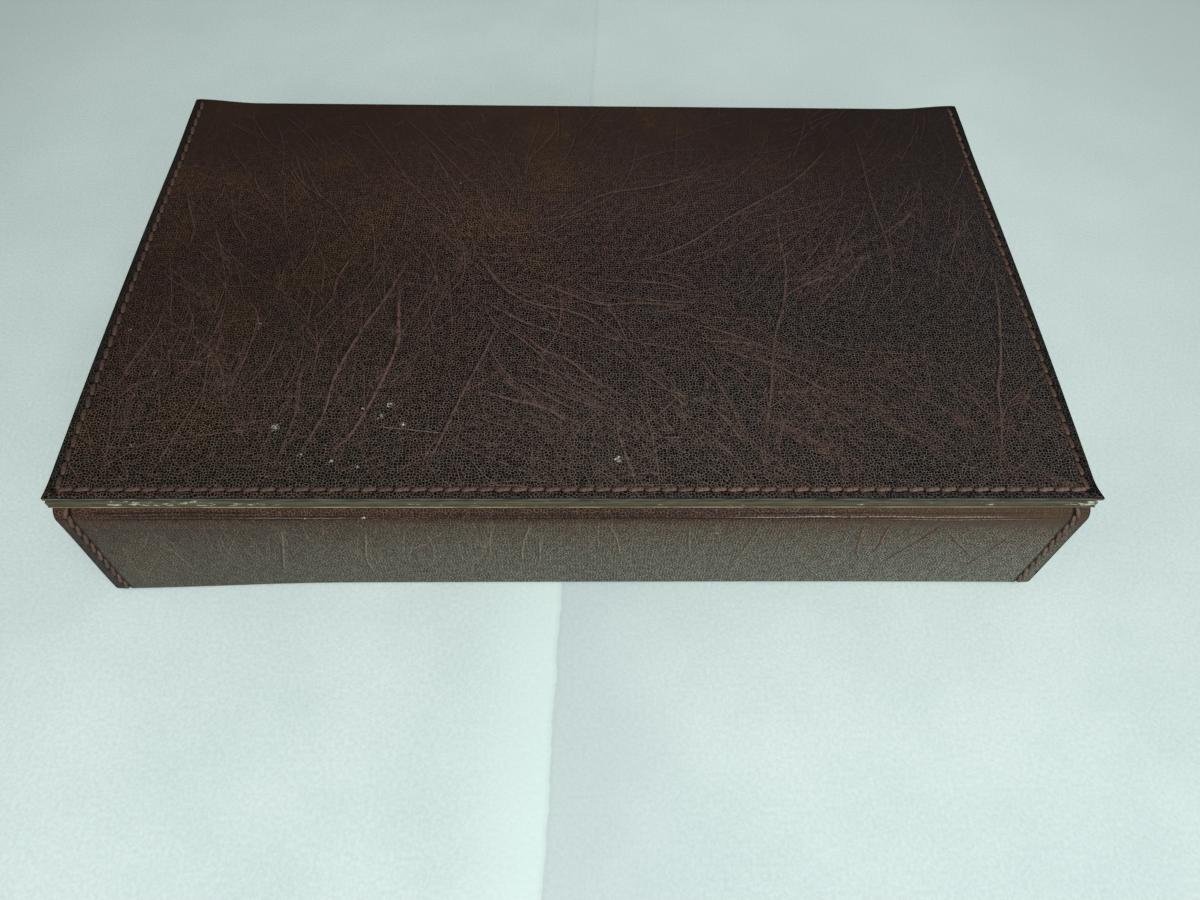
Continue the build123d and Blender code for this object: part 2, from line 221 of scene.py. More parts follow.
# ---------------------------------------------------------------- meshes
def make_object(name, points, faces, smooth_angle=50):
    """A mesh object at the origin, from points in millimetres and lists of corner numbers."""
    mesh = bpy.data.meshes.new(name)
    mesh.from_pydata((np.asarray(points) * MM).tolist(), [], faces)
    mesh.shade_smooth()
    mesh.set_sharp_from_angle(angle=np.radians(smooth_angle))
    mesh.update()
    made = bpy.data.objects.new(name, mesh)
    bpy.context.scene.collection.objects.link(made)
    return made


def mark(piece, name, *fields):
    """Stores a number per point, or a vector whose three parts are given as three fields. Points past the
    end of the fields get zeros."""
    values = np.stack([np.ravel(field) for field in fields], 1)
    whole = np.zeros((len(piece.data.vertices), len(fields)), np.float32)
    whole[: len(values)] = values
    kind, part = ("FLOAT", "value") if len(fields) == 1 else ("FLOAT_VECTOR", "vector")
    piece.data.attributes.new(name, kind, "POINT").data.foreach_set(part, whole.ravel())


def graded(*stops):
    """Positions from stop to stop, given as a start and then pairs of end and step, spaced evenly in each
    stretch at about its step."""
    values = [np.array([stops[0]], float)]
    start = stops[0]
    for end, step in zip(stops[1::2], stops[2::2]):
        count = max(int(round(abs(end - start) / step)), 1)
        values.append(np.linspace(start, end, count + 1)[1:])
        start = end
    return np.concatenate(values)


def border_of(rows, cols):
    """Row and column numbers round the border of a grid, anticlockwise seen from its face."""
    i = [np.zeros(cols), np.arange(1, rows), np.full(cols - 1, rows - 1), np.arange(rows - 2, 0, -1)]
    j = [np.arange(cols), np.full(rows - 1, cols - 1), np.arange(cols - 2, -1, -1), np.zeros(rows - 2)]
    return np.concatenate(i).astype(int), np.concatenate(j).astype(int)


def panel(name, line, x, s, thickness, edge, rise=None, shape=None, spans=12):
    """A closed sheet of leather or board, laid along a section line.

    The face is the grid of x and s, raised by rise, an array of the grid's shape. The cut edge is the face's
    border carried through the edge profile, whose steps are (how far out, how deep). The back is a coarser
    grid of so many spans, at the full thickness. shape moves every finished point."""
    rows, cols = len(s), len(x)
    grid_x, grid_s = np.meshgrid(x, s)
    rise = np.zeros(grid_x.shape) if rise is None else rise
    flat = [np.stack([grid_x, grid_s, -rise], 2).reshape(-1, 3)]
    i, j = border_of(rows, cols)
    out_x = np.where(j == cols - 1, 1.0, 0.0) - np.where(j == 0, 1.0, 0.0)
    out_s = np.where(i == rows - 1, 1.0, 0.0) - np.where(i == 0, 1.0, 0.0)
    for out, depth in edge:
        ring = [grid_x[i, j] + out * out_x, grid_s[i, j] + out * out_s, np.full(len(i), depth)]
        flat.append(np.stack(ring, 1))
    picks = np.unique(np.linspace(0, cols - 1, spans + 1).round().astype(int))
    inner_x, inner_s = np.meshgrid(x[picks[1:-1]], s[1:-1])
    flat.append(np.stack([inner_x, inner_s, np.full(inner_x.shape, thickness)], 2).reshape(-1, 3))
    flat = np.concatenate(flat)

    face = np.arange(rows * cols).reshape(rows, cols)
    quads = [np.stack([face[:-1, :-1], face[:-1, 1:], face[1:, 1:], face[1:, :-1]], 2).reshape(-1, 4)]
    rings = [face[i, j]]
    for number in range(len(edge)):
        rings.append(rows * cols + number * len(i) + np.arange(len(i)))
        upper, lower = rings[-2], rings[-1]
        after = np.roll(np.arange(len(i)), -1)
        quads.append(np.stack([upper, lower, lower[after], upper[after]], 1))
    last = np.full((rows, cols), -1)
    last[i, j] = rings[-1]
    back = last[:, picks]
    first = rows * cols + len(edge) * len(i)
    back[1:-1, 1:-1] = first + np.arange((rows - 2) * (len(picks) - 2)).reshape(rows - 2, -1)
    body = back[1:-1]
    quads.append(np.stack([body[:-1, :-1], body[1:, :-1], body[1:, 1:], body[:-1, 1:]], 2).reshape(-1, 4))
    faces = np.concatenate(quads).tolist()
    for k, (left, right) in enumerate(zip(picks, picks[1:])):
        faces.append([back[1, k], back[1, k + 1]] + last[0, left : right + 1][::-1].tolist())
        faces.append([back[-2, k + 1], back[-2, k]] + last[-1, left : right + 1].tolist())

    y, z = line.place(flat[:, 1], flat[:, 2])
    points = np.stack([flat[:, 0], y, z], 1)
    if shape:
        points = shape(points)
    made = make_object(name, points, faces)
    flat[: rows * cols, 2] = 0
    mark(made, "hide_place", *flat.T)
    return made


# ---------------------------------------------------------------- creases
CREASE_REACH = 3.2  # a crease is known this far to each side of it
CREASE_GAP = 2.0  # two creases nearer than this use different channels where they can
CREASE_CHANNELS = 5
CREASE_HEIGHT = 0.13
HAIR_WAYS = (0, 60, 120)  # the three directions that the fine creases are made of, in degrees


def through(points, step):
    """Even samples of the Catmull-Rom curve through a few points, about a step apart."""
    points = np.asarray(points, float)
    padded = np.concatenate([[2 * points[0] - points[1]], points, [2 * points[-1] - points[-2]]])
    t = np.linspace(0, 1, 24, endpoint=False)[:, None]
    spans = []
    for a, b, c, d in zip(padded, padded[1:], padded[2:], padded[3:]):
        cubic = (3 * b - a - 3 * c + d) * t**3 + (2 * a - 5 * b + 4 * c - d) * t**2
        spans.append(0.5 * (2 * b + (c - a) * t + cubic))
    curve = np.concatenate(spans + [points[-1:]])
    gone = np.concatenate([[0], np.cumsum(np.linalg.norm(np.diff(curve, axis=0), axis=1))])
    even = np.linspace(0, gone[-1], max(int(gone[-1] / step), 3))
    return np.stack([np.interp(even, gone, curve[:, k]) for k in (0, 1)], 1)


class Creases:
    """The creases of one hide, kept on its grid as signed distances in a few channels.

    At each grid point near a crease a channel holds the distance to its line, positive on its right, with
    its strength and half its width. The strength fades to nothing at the line's two ends."""

    def __init__(self, x, s):
        self.x, self.s = x, s
        shape = (CREASE_CHANNELS, len(s), len(x))
        self.distance = np.full(shape, 2 * CREASE_REACH)
        self.strength = np.zeros(shape)
        self.half_width = np.full(shape, 0.3)

    def press(self, points, strength, half_width):
        """Adds the crease that runs through a few points, sampled about every millimetre."""
        curve = through(points, 1.0)
        low, high = curve.min(0) - CREASE_REACH, curve.max(0) + CREASE_REACH
        left, right = np.searchsorted(self.x, [low[0], high[0]])
        front, back = np.searchsorted(self.s, [low[1], high[1]])
        if min(right - left, back - front) < 2:
            return
        gx, gs = np.meshgrid(self.x[left:right], self.s[front:back])
        off_x = gx[..., None] - curve[:, 0]
        off_s = gs[..., None] - curve[:, 1]
        nearest = np.argmin(off_x**2 + off_s**2, axis=2)
        ahead = np.gradient(curve, axis=0)
        ahead = (ahead / np.linalg.norm(ahead, axis=1, keepdims=True))[nearest]
        off_x = np.take_along_axis(off_x, nearest[..., None], 2)[..., 0]
        off_s = np.take_along_axis(off_s, nearest[..., None], 2)[..., 0]
        signed = off_x * ahead[..., 1] - off_s * ahead[..., 0]
        straight = np.hypot(off_x, off_s)
        share = nearest / (len(curve) - 1)
        fade = ease(share, 0, 0.25) * ease(1 - share, 0, 0.25)
        local = strength * fade * (1 - ease(straight, 0.62 * CREASE_REACH, CREASE_REACH))
        window = (slice(front, back), slice(left, right))
        clashes = [np.sum((np.abs(d[window]) < CREASE_GAP) & (straight < CREASE_GAP)) for d in self.distance]
        channel = int(np.argmin(clashes))
        nearer = straight < np.abs(self.distance[channel][window])
        values = (self.distance, signed), (self.strength, local), (self.half_width, half_width)
        for field, value in values:
            part = field[channel][window]
            part[nearer] = np.broadcast_to(value, part.shape)[nearer]

    def press_all(self, lines, strengths, half_widths):
        """Adds many creases, in order."""
        for points, strength, half_width in zip(lines, strengths, half_widths):
            self.press(points, strength, half_width)

    def relief(self):
        """The leather's height over its creases: a low ridge on the line, with a shallow dip to its right,
        each a bell curve of the distance."""
        d = self.distance
        width = 0.5 + self.half_width
        ridge = np.exp(-((d / width) ** 2)) - 0.75 * np.exp(-(((d - 1.7 * width) / width) ** 2))
        return (self.strength * self.half_width * ridge).sum(0) * CREASE_HEIGHT

    def mark_on(self, piece):
        """Hands the channels to the finish, as one vector for each."""
        for number in range(CREASE_CHANNELS):
            fields = self.distance[number], self.strength[number], self.half_width[number]
            mark(piece, f"crease_{number + 1}", *fields)


# The lid's main creases, as (strength, half width, points), each point (x, s) on the flat hide. A strength
# over 1 is rubbed white, and one under 0 is painted dark, as shade in its fold.
LID_CREASES = [
    (0.75, 0.45, [(110, 180), (96, 158), (86, 146), (78, 139), (58, 124), (40, 109), (24, 101), (8, 98)]),
    (0.75, 0.42, [(78, 138), (75, 116), (75.4, 98), (72.4, 80), (67, 62), (63.6, 42), (60.4, 26), (57, 6)]),
    (0.7, 0.45, [(44, 61), (57, 55), (65.6, 52), (80, 42), (92, 35)]),
    (0.6, 0.40, [(78, 34), (85, 30.4), (89, 26.4), (92, 20)]),
    (0.5, 0.35, [(60, 30), (65, 26), (69, 21), (75, 17)]),
    (0.9, 0.55, [
        (-61, 108), (-62, 100), (-67, 83), (-74, 66), (-79.6, 47), (-81.4, 30), (-86, 15), (-85, 7),
    ]),
    (1.0, 0.60, [(-64, 92), (-62, 72), (-61, 60), (-65, 42), (-71, 24), (-75.6, 17), (-76, 8)]),
    (0.7, 0.40, [(-80, 108), (-85.6, 92), (-86.5, 80), (-93, 68)]),
    (0.8, 0.45, [(-26, 76), (-31, 58), (-37.6, 39), (-43, 22), (-49, 4)]),
    (0.5, 0.40, [(-90, 56), (-91.6, 44), (-90.4, 30), (-93, 12), (-96, 4)]),
    (0.6, 0.40, [(-120, 50), (-122, 38), (-126, 23), (-131, 5)]),
    (0.6, 0.45, [(-144, 60), (-147, 54), (-149.4, 42)]),
    (0.5, 0.35, [(-150, 40), (-147, 26), (-144.4, 8)]),
    (0.6, 0.22, [(-114, 39), (-98, 38), (-85, 38), (-71, 37)]),
    (1.15, 0.20, [(-69, 27), (-63, 26), (-54, 25), (-46, 24), (-37, 23)]),
    (0.8, 0.22, [(-154, 19), (-140, 18), (-128, 21), (-115, 23), (-104, 25), (-92, 25)]),
    (0.5, 0.20, [(-157, 67), (-145, 62), (-138, 66), (-126, 67)]),
    (0.6, 0.20, [(-123, 69), (-114, 71), (-105, 71)]),
    (0.6, 0.22, [(-146, 53), (-136, 53), (-123, 52)]),
    (0.5, 0.22, [(-153, 25), (-142, 27), (-132, 28), (-119, 29)]),
    (0.6, 0.22, [(-83, 29), (-77, 29), (-70, 28)]),
    (0.6, 0.22, [(-148, 42), (-142, 43), (-138, 45), (-134, 47)]),
    (0.6, 0.25, [(-150, 96), (-142, 88), (-133, 83), (-130, 78)]),
    (0.9, 0.26, [(-43, 24), (-47, 16), (-48, 10)]),
    (0.7, 0.25, [(-91, 19), (-89, 23), (-87, 27)]),
    (0.7, 0.30, [(-90, 53), (-91, 45), (-90, 36), (-90, 27)]),
    (0.6, 0.22, [(-57, 7), (-53, 11), (-47, 15)]),
    (0.5, 0.40, [(-151, 138), (-147, 128), (-142, 114), (-142.6, 104)]),
    (0.6, 0.40, [(-131, 125), (-126, 116), (-120.5, 107.5)]),
    (0.5, 0.40, [(-136, 119), (-132, 110), (-128, 101), (-128, 92)]),
    (0.5, 0.35, [(-152, 99), (-142, 92), (-132, 81), (-129, 72)]),
    (0.5, 0.35, [(-116, 164), (-108, 152), (-100, 136), (-92, 127), (-81, 108)]),
    (0.4, 0.35, [(-142, 166), (-128, 146), (-114, 126), (-101, 104)]),
    (0.5, 0.35, [(-92, 186), (-80, 166), (-70, 150), (-62, 134)]),
    (0.6, 0.35, [(-75, 186), (-62, 170), (-50, 154), (-42, 143), (-33, 132)]),
    (0.5, 0.35, [(-49, 186), (-42, 172), (-34, 160), (-30, 148)]),
    (0.5, 0.35, [(-44, 142), (-34, 132), (-25, 121), (-18, 112)]),
    (0.6, 0.35, [(-21, 141), (-20, 156), (-14, 166), (-6, 182)]),
    (0.5, 0.35, [(-22, 150), (-20, 164), (-17, 176), (-16, 186)]),
    (0.7, 0.50, [(-3, 126), (6, 134), (15, 138), (30, 141.5), (38, 145), (52, 149)]),
    (0.6, 0.35, [(-18, 121), (-6, 124), (5, 130)]),
    (0.6, 0.35, [(-16, 111), (-8, 117), (1, 125)]),
    (0.5, 0.35, [(41, 186), (39, 160), (37, 146)]),
    (0.5, 0.35, [(24, 172), (21, 152), (16, 138)]),
    (0.75, 0.50, [(-40, 108), (-34, 98), (-29, 90), (-24, 84), (-16, 79), (-4, 76), (5, 71), (14, 58)]),
    (0.7, 0.42, [(-22, 92), (-10, 87), (-2, 83), (8, 79), (24, 79.4), (44, 77.5)]),
    (0.6, 0.40, [(18, 91), (34, 88), (44, 83)]),
    (0.8, 0.45, [(-36, 82), (-26, 75), (-18, 70), (-8, 66), (4, 62)]),
    (0.8, 0.45, [(-21, 67), (-12, 58), (-4, 54), (4, 46), (10, 38)]),
    (0.8, 0.45, [(-34, 41), (-22, 37), (-10, 33), (0, 25)]),
    (0.6, 0.40, [(113, 186), (114, 160), (113.6, 136), (115, 108), (112, 86), (109, 72)]),
    (0.8, 0.45, [(152, 100), (148, 76), (143, 54), (139, 42), (137, 30), (132, 11)]),
    (0.6, 0.35, [(128, 42), (132, 33), (137, 29)]),
    (0.5, 0.35, [(98, 52), (108, 43), (121, 40)]),
    (0.4, 0.35, [(58, 98), (70, 108), (84, 117), (98, 120)]),
    (0.4, 0.35, [(86, 99), (97, 106), (112, 113)]),
    (0.4, 0.35, [(146, 150), (149, 166), (147, 184)]),
    (0.4, 0.30, [(85, 164), (84, 152), (80, 144)]),
]

# The way the fine creases run, as (x, s, degrees from X) at places on the lid.
LID_FLOW = [
    (-145, 165, 118), (-145, 125, 108), (-110, 160, 119), (-90, 180, 124), (-60, 170, 129), (-38, 165, 118),
    (-15, 165, 72), (12, 168, 57), (30, 142, 24), (60, 152, 22), (64, 124, 40), (100, 165, 57),
    (100, 108, 32), (130, 155, 55), (152, 150, 95), (150, 60, 76), (125, 90, 82), (0, 112, 24), (0, 84, -18),
    (30, 80, -6), (-5, 58, -42), (22, 58, -44), (48, 58, -22), (20, 25, -62), (-20, 28, -24), (-42, 60, 72),
    (-70, 50, 76), (-92, 40, 86), (-125, 30, 72), (-150, 40, 82), (-132, 84, -46), (-100, 90, 100),
    (85, 35, -42), (112, 42, -26), (68, 70, 72), (120, 15, -50), (-110, 12, 70), (-60, 125, 122),
]
FLOW_REACH = 22.0


def flow_at(places):
    """The direction of the fine creases at some places: the flow's directions averaged as doubled angles,
    so that a line has no front or back, each weighted by a bell curve of its distance."""
    flow = np.array(LID_FLOW, float)
    off = places[:, None, :] - flow[None, :, :2]
    weight = np.exp(-(off**2).sum(2) / (2 * FLOW_REACH**2)) + 1e-6
    doubled = 2 * np.radians(flow[:, 2])
    return 0.5 * np.arctan2((weight * np.sin(doubled)).sum(1), (weight * np.cos(doubled)).sum(1))


def ways_of(angle):
    """How much of the fine network lies in each of its three directions where it runs at an angle: the cube
    of the direction's closeness to it, so that their total stays near one."""
    apart = angle[..., None] - np.radians(HAIR_WAYS)
    return np.clip(np.cos(2 * apart) * 0.5 + 0.5, 0, 1) ** 3


def strays(rng, count, low, high, lengths, flow, spread):
    """Short random creases: each starts anywhere between two corners and follows the flow, off by an angle
    of its own, by small steps that also turn a little."""
    steps = 12
    place = rng.uniform(low, high, (count, 2))
    length = rng.uniform(*lengths, count)
    lean = rng.normal(0, spread, count)
    bend = rng.normal(0, 0.03, count)
    way = flow(place)
    trail = [place]
    for step in range(steps):
        wanted = flow(trail[-1]) + lean + bend * step
        # The flow has no front or back, so each step takes the one of its two ends that goes on ahead.
        wanted = wanted + np.pi * np.round((way - wanted) / np.pi)
        way = wanted
        stride = (length / steps)[:, None]
        trail.append(trail[-1] + stride * np.stack([np.cos(way), np.sin(way)], 1))
    return np.stack(trail, 1)


# ---------------------------------------------------------------- finishes
def linear(code):
    """A colour such as 3a2c29, in the linear values that a shader takes."""
    parts = np.array([int(code[k : k + 2], 16) for k in (0, 2, 4)]) / 255
    return (*np.where(parts <= 0.04045, parts / 12.92, ((parts + 0.055) / 1.055) ** 2.4), 1.0)


class Value:
    """A node's output. The signs of arithmetic join it to a number or to another output by a Math node."""

    def __init__(self, finish, socket):
        self.finish = finish
        self.socket = socket

    def __add__(self, other):
        return self.finish.math("ADD", self, other)

    def __sub__(self, other):
        return self.finish.math("SUBTRACT", self, other)

    def __rsub__(self, other):
        return self.finish.math("SUBTRACT", other, self)

    def __mul__(self, other):
        return self.finish.math("MULTIPLY", self, other)

    def __truediv__(self, other):
        return self.finish.math("DIVIDE", self, other)

    def __abs__(self):
        return self.finish.math("ABSOLUTE", self)

    __radd__ = __add__
    __rmul__ = __mul__


class Finish:
    """A material, or the world, being mixed. Each method adds a node and returns its output. A colour may be
    given by its code. A flat finish reads only the first two numbers of a place."""

    def __init__(self, owner, flat=False):
        self.dimensions = "2D" if flat else "3D"
        self.owner = bpy.data.materials.new(owner) if isinstance(owner, str) else owner
        self.owner.use_nodes = True
        self.tree = self.owner.node_tree
        self.tree.nodes.clear()

    def node(self, kind, inputs=(), **settings):
        """A new node with its inputs linked or set, and its settings made."""
        made = self.tree.nodes.new(kind)
        for key, value in settings.items():
            setattr(made, key, value)
        for key, value in dict(inputs).items():
            if isinstance(value, Value):
                self.tree.links.new(value.socket, made.inputs[key])
            else:
                made.inputs[key].default_value = linear(value) if isinstance(value, str) else value
        return made

    def add(self, kind, inputs=(), output=0, **settings):
        """One output of a new node."""
        return Value(self, self.node(kind, inputs, **settings).outputs[output])

    def math(self, operation, a, b=0.0):
        return self.add("ShaderNodeMath", {0: a, 1: b}, operation=operation)

    def larger(self, a, b):
        return self.math("MAXIMUM", a, b)

    def smaller(self, a, b):
        return self.math("MINIMUM", a, b)

    def scaled(self, vector, by):
        """A place or a colour, all of it times one number."""
        return self.add("ShaderNodeVectorMath", {0: vector, 3: by}, operation="SCALE")

    def stretched(self, vector, by):
        """A place, each of its parts times a number of its own."""
        return self.add("ShaderNodeVectorMath", {0: vector, 1: by}, operation="MULTIPLY")

    def step(self, value, low, high, start=0.0, end=1.0):
        """A smooth step from start at low to end at high."""
        inputs = {"Value": value, "From Min": low, "From Max": high, "To Min": start, "To Max": end}
        return self.add("ShaderNodeMapRange", inputs, interpolation_type="SMOOTHSTEP")

    def mix(self, amount, a, b):
        """A colour from a at 0 to b at 1."""
        return self.add("ShaderNodeMix", {0: amount, 6: a, 7: b}, 2, data_type="RGBA")

    def mix_number(self, amount, a, b):
        """A number from a at 0 to b at 1."""
        return self.add("ShaderNodeMix", {0: amount, 2: a, 3: b}, 0, data_type="FLOAT")

    def noise(self, place, size, detail=2.0, rough=0.5, output=0):
        """Soft noise from 0 to 1, with features of about the given size in millimetres."""
        inputs = {"Vector": place, "Scale": 1 / size, "Detail": detail, "Roughness": rough}
        return self.add("ShaderNodeTexNoise", inputs, output, noise_dimensions=self.dimensions)

    def wander(self, place, size, reach):
        """The place, moved by up to about half the reach each way by soft noise of the given size."""
        inputs = {0: self.noise(place, size, 1.0, output=1), 1: (reach, reach, reach), 2: place}
        return self.add("ShaderNodeVectorMath", inputs, operation="MULTIPLY_ADD")

    def cell_walls(self, place, size, loose=1.0):
        """The distance to the nearest wall between cells of about the given size."""
        inputs = {"Vector": place, "Scale": 1 / size, "Randomness": loose}
        settings = {"feature": "DISTANCE_TO_EDGE", "voronoi_dimensions": self.dimensions}
        return self.add("ShaderNodeTexVoronoi", inputs, **settings)

    def attribute(self, name, output=1):
        """What mark() stored on the piece: a vector, or a number where output is 2."""
        return self.add("ShaderNodeAttribute", output=output, attribute_name=name)

    def split(self, vector):
        """The three numbers of a vector."""
        return [Value(self, part) for part in self.node("ShaderNodeSeparateXYZ", {0: vector}).outputs]

    def done(self, height=None, **inputs):
        """The finished material, given its inputs and the height of its relief in millimetres."""
        inputs = {key.replace("_", " "): value for key, value in inputs.items()}
        if height is not None:
            relief = {"Height": height, "Distance": MM, "Strength": 1.0}
            inputs["Normal"] = self.add("ShaderNodeBump", relief)
        surface = self.add("ShaderNodeBsdfPrincipled", inputs)
        self.node("ShaderNodeOutputMaterial", {"Surface": surface})
        return self.owner


def place_of(finish, laid):
    """Where a point is, in millimetres: on the flat hide if the piece is laid leather, else in the box."""
    if laid:
        return finish.attribute("hide_place")
    return finish.scaled(finish.add("ShaderNodeTexCoord", output=3), 1 / MM)


# The leather, from the painted shade in its creases to the paler leather that shows where the dye has
# cracked or rubbed away.
CREASE_SHADOW = "0d0908"
COOL_BROWN = "2c2828"
OLIVE_BROWN = "2b2a23"
WARM_BROWN = "35251f"
TAN_BLOTCH = "42301f"
CREASE = "74584e"
RUBBED = "3f2c22"
BURNISHED = "1d1e1a"
GREY_SHEEN = "868476"
WARM_SHEEN = "816c54"
SHEEN_CREASE_SHADOW = "3c251a"
SHEEN_RIDGE = "a79d8b"
TAN_RIDGE = "8c6450"
SCUFF = "c4c3b8"
HOLE_SHADE = "0c0706"
EDGE_GRIME = "37352d"
EDGE_PAINT = "5b574b"
GRAIN_SIZE = 1.0
# The net between the grains is painted lighter than the dye: partly the grain's own paler colour, partly
# painted glints of light on the grain.
GRAIN_NET_AND_GLINT = 7.7  # how much lighter than the dye the net between the grains is


def fine_network(f, place, ways):
    """Hair creases: the walls of long cells that lie in three directions, each as strong as the vector ways
    says, broken up by noise."""
    breaks = f.step(f.noise(place, 6.0, 1), 0.36, 0.60)
    loose = f.wander(place, 15.0, 9.0)
    total = 0.0
    for share, degrees, size in zip(f.split(ways), HAIR_WAYS, (3.4, 3.9, 3.6)):
        turned = f.add("ShaderNodeVectorRotate", {0: loose, 3: np.radians(-degrees)}, rotation_type="Z_AXIS")
        walls = f.cell_walls(f.stretched(turned, (0.26, 1.0, 1.0)), size)
        total = f.larger(total, f.step(walls, 0.01, 0.05, 1, 0) * share)
    return total * breaks


def pressed_creases(f, place):
    """The creases that the hide's attributes carry, as three amounts: pale lines, painted shade and white
    ones. A crease is painted dark, as shade in its fold, where its strength is under 0, and it is rubbed
    white where that is over 1. A pale one has a painted soft shadow at its right."""
    wobble = (f.noise(place, 1.6, 1) - 0.5) * 0.4
    breaks = f.step(f.noise(place, 2.6, 1), 0.32, 0.56, 0.45, 1.0)
    lines, crease_shade, white = 0.0, 0.0, 0.0
    for number in range(CREASE_CHANNELS):
        distance, strength, half = f.split(f.attribute(f"crease_{number + 1}"))
        away = (distance + wobble) / half
        line = f.step(abs(away), 0.25, 1.2, 1, 0) * strength
        shadow = f.step(abs(away - 2.2), 0.2, 1.7, 0.85, 0) * strength
        lines = f.larger(lines, line)
        crease_shade = f.larger(crease_shade, f.larger(shadow, line * -2.0))
        white = f.larger(white, f.step(line, 0.95, 1.5))
    return lines * breaks, crease_shade, white


def stitch_marks(f, x):
    """The painted shade of the leather's stitch rows, first its holes alone: a dark hole at each end of a
    stitch, fainter where the left rows have worn, a shaded trough along a row, and along a seam a deeper
    shadow at its inner side."""
    along, across, kind = f.split(f.attribute("stitch_way"))
    beside_hole = f.math("PINGPONG", along, 0.5) * PITCH
    to_hole = f.math("SQRT", beside_hole * beside_hole + across * across)
    on_row = f.step(kind, 0.2, 0.8)
    hole = f.step(to_hole, 0.35, 0.75, 0.8, 0) * on_row * f.step(x, -150, -90, 0.6, 1.0)
    trough = f.step(abs(across), 0.5, 1.25, 0.5, 0) * on_row
    inner_side = f.step(abs(across + 1.15), 0.30, 0.85, 0.9, 0) * f.step(kind, 1.2, 1.8)
    return hole, f.larger(hole, f.larger(trough, inner_side))


def leather(name, laid):
    """Old brown bag leather, waxed and rubbed.

    Small dark grains stand in a net of paler lines. The net is partly the grain's own colour and partly
    painted glints of light on it, and it grows fainter towards the back, where the painted glints fade. The
    colour is a redder brown there, a cooler one at the front right and an olive one at the front left, with
    a little drift over a few millimetres and tan blotches over a few centimetres. A painted shade scales the
    brightness, and a painted sheen lies over it. Creases show the paler leather under the dye, with painted
    shade in and beside their folds."""
    f = Finish(name, flat=laid)
    place = place_of(f, laid)
    x, _, depth = f.split(place)
    drift = f.noise(place, 6.5, 2)
    patch = f.noise(place, 34.0, 2, 0.55)
    speck = f.noise(place, 0.42, 2, 0.65)
    net = f.cell_walls(f.wander(place, 1.6, 0.7), GRAIN_SIZE, 0.85)
    wall = f.step(net, 0.02, 0.14, 1, 0) * f.step(f.noise(place, 2.2, 1), 0.30, 0.62, 0.55, 1)
    pore = f.step(net, 0.16, 0.32)

    warm, faint, shade = f.split(f.attribute("tone_and_shade")) if laid else (0.5, 0.75, 0.85)
    cool = f.mix(f.step(x, -110, -10), OLIVE_BROWN, COOL_BROWN)
    base = f.mix(f.step(drift * 0.5 - 0.25 + warm, 0.0, 1.0), cool, WARM_BROWN)
    tanned = f.step(patch, 0.48, 0.74) * f.step(warm, 0.45, 0.75, 0.14, 0.42)
    base = f.mix(tanned, base, TAN_BLOTCH)
    scuff, rub, pale = f.split(f.attribute("wear_and_sheen"))
    base = f.mix(f.larger(rub, 0.0) * f.step(drift, 0.36, 0.66, 0.6, 0.9), base, RUBBED)
    base = f.mix(f.larger(rub * -0.7, 0.0), base, BURNISHED)
    # pale lays on the painted sheen, a grey reflection at the foot of the wall and a warmer one elsewhere.
    base = f.mix(pale * 0.5, base, f.mix(f.attribute("sheen_hue", 2), WARM_SHEEN, GREY_SHEEN))

    # The net, the pores and the hair creases lighten or darken whatever colour lies under them. The net's
    # lightness is partly painted glints, and the painted shade then scales it all.
    hairs = fine_network(f, place, f.attribute("fine_ways"))
    gain = (wall * GRAIN_NET_AND_GLINT + 0.05) * f.step(pore, 0, 1, 1, 0.3) * f.step(speck, 0.30, 0.70, 0.75, 1.25)
    if laid:
        ribs = f.noise(f.stretched(place, (1.0, 0.2, 1.0)), 0.55, 1)
        gain = gain * f.mix_number(f.step(rub, 0.6, 0.95), 1.0, f.step(ribs, 0.3, 0.7, 0.7, 1.3))
    base = f.scaled(base, (f.mix_number(faint, gain, 0.85) + hairs * 0.5) * shade)

    height = pore * 0.05 + speck * 0.03 + hairs * 0.05
    if laid:
        lines, crease_shade, white = pressed_creases(f, place)
        lines = lines * f.step(faint, 0.0, 1.0, 1.15, 0.45)
        # Painted shade in and beside the creases, stronger and redder where the painted sheen lies, with
        # grey ridges at the left there and tan ones at the right.
        on_sheen = f.step(pale, 0.05, 0.35)
        deep = f.smaller(crease_shade * f.mix_number(on_sheen, 0.55, 1.0), 0.8)
        base = f.mix(deep, base, f.mix(on_sheen, CREASE_SHADOW, SHEEN_CREASE_SHADOW))
        ridge = f.mix(on_sheen, CREASE, f.mix(f.step(x, 30, 80), SHEEN_RIDGE, TAN_RIDGE))
        base = f.mix(f.smaller(lines * 0.52, 0.7), base, ridge)
        base = f.mix(white * f.step(ribs, 0.45, 0.58, 0.12, 0.55), base, SCUFF)
        height = height + lines * 0.07 - crease_shade * 0.06
    flakes = f.step(scuff * 0.38 + f.noise(place, 0.8, 3, 0.75), 0.80, 0.88, 0.0, 0.8)
    base = f.mix(flakes, base, SCUFF)
    # The stitch holes, the grooves and the inner sides of the seams are painted dark, as shade.
    hole, stitch_shade = stitch_marks(f, x)
    base = f.mix(stitch_shade, base, HOLE_SHADE)
    if laid:
        streak = f.noise(f.add("ShaderNodeCombineXYZ", {0: x * 0.1, 1: depth}), 0.8, 3)
        paint = f.mix(f.step(streak, 0.35, 0.65), EDGE_GRIME, EDGE_PAINT)
        base = f.mix(f.step(depth, 0.22, 0.42), base, paint)
    rough = f.step(drift, 0.3, 0.7, 0.44, 0.54) + flakes * 0.2
    return f.done(height - hole * 0.3, Base_Color=base, Roughness=rough, Specular_IOR_Level=0.10)


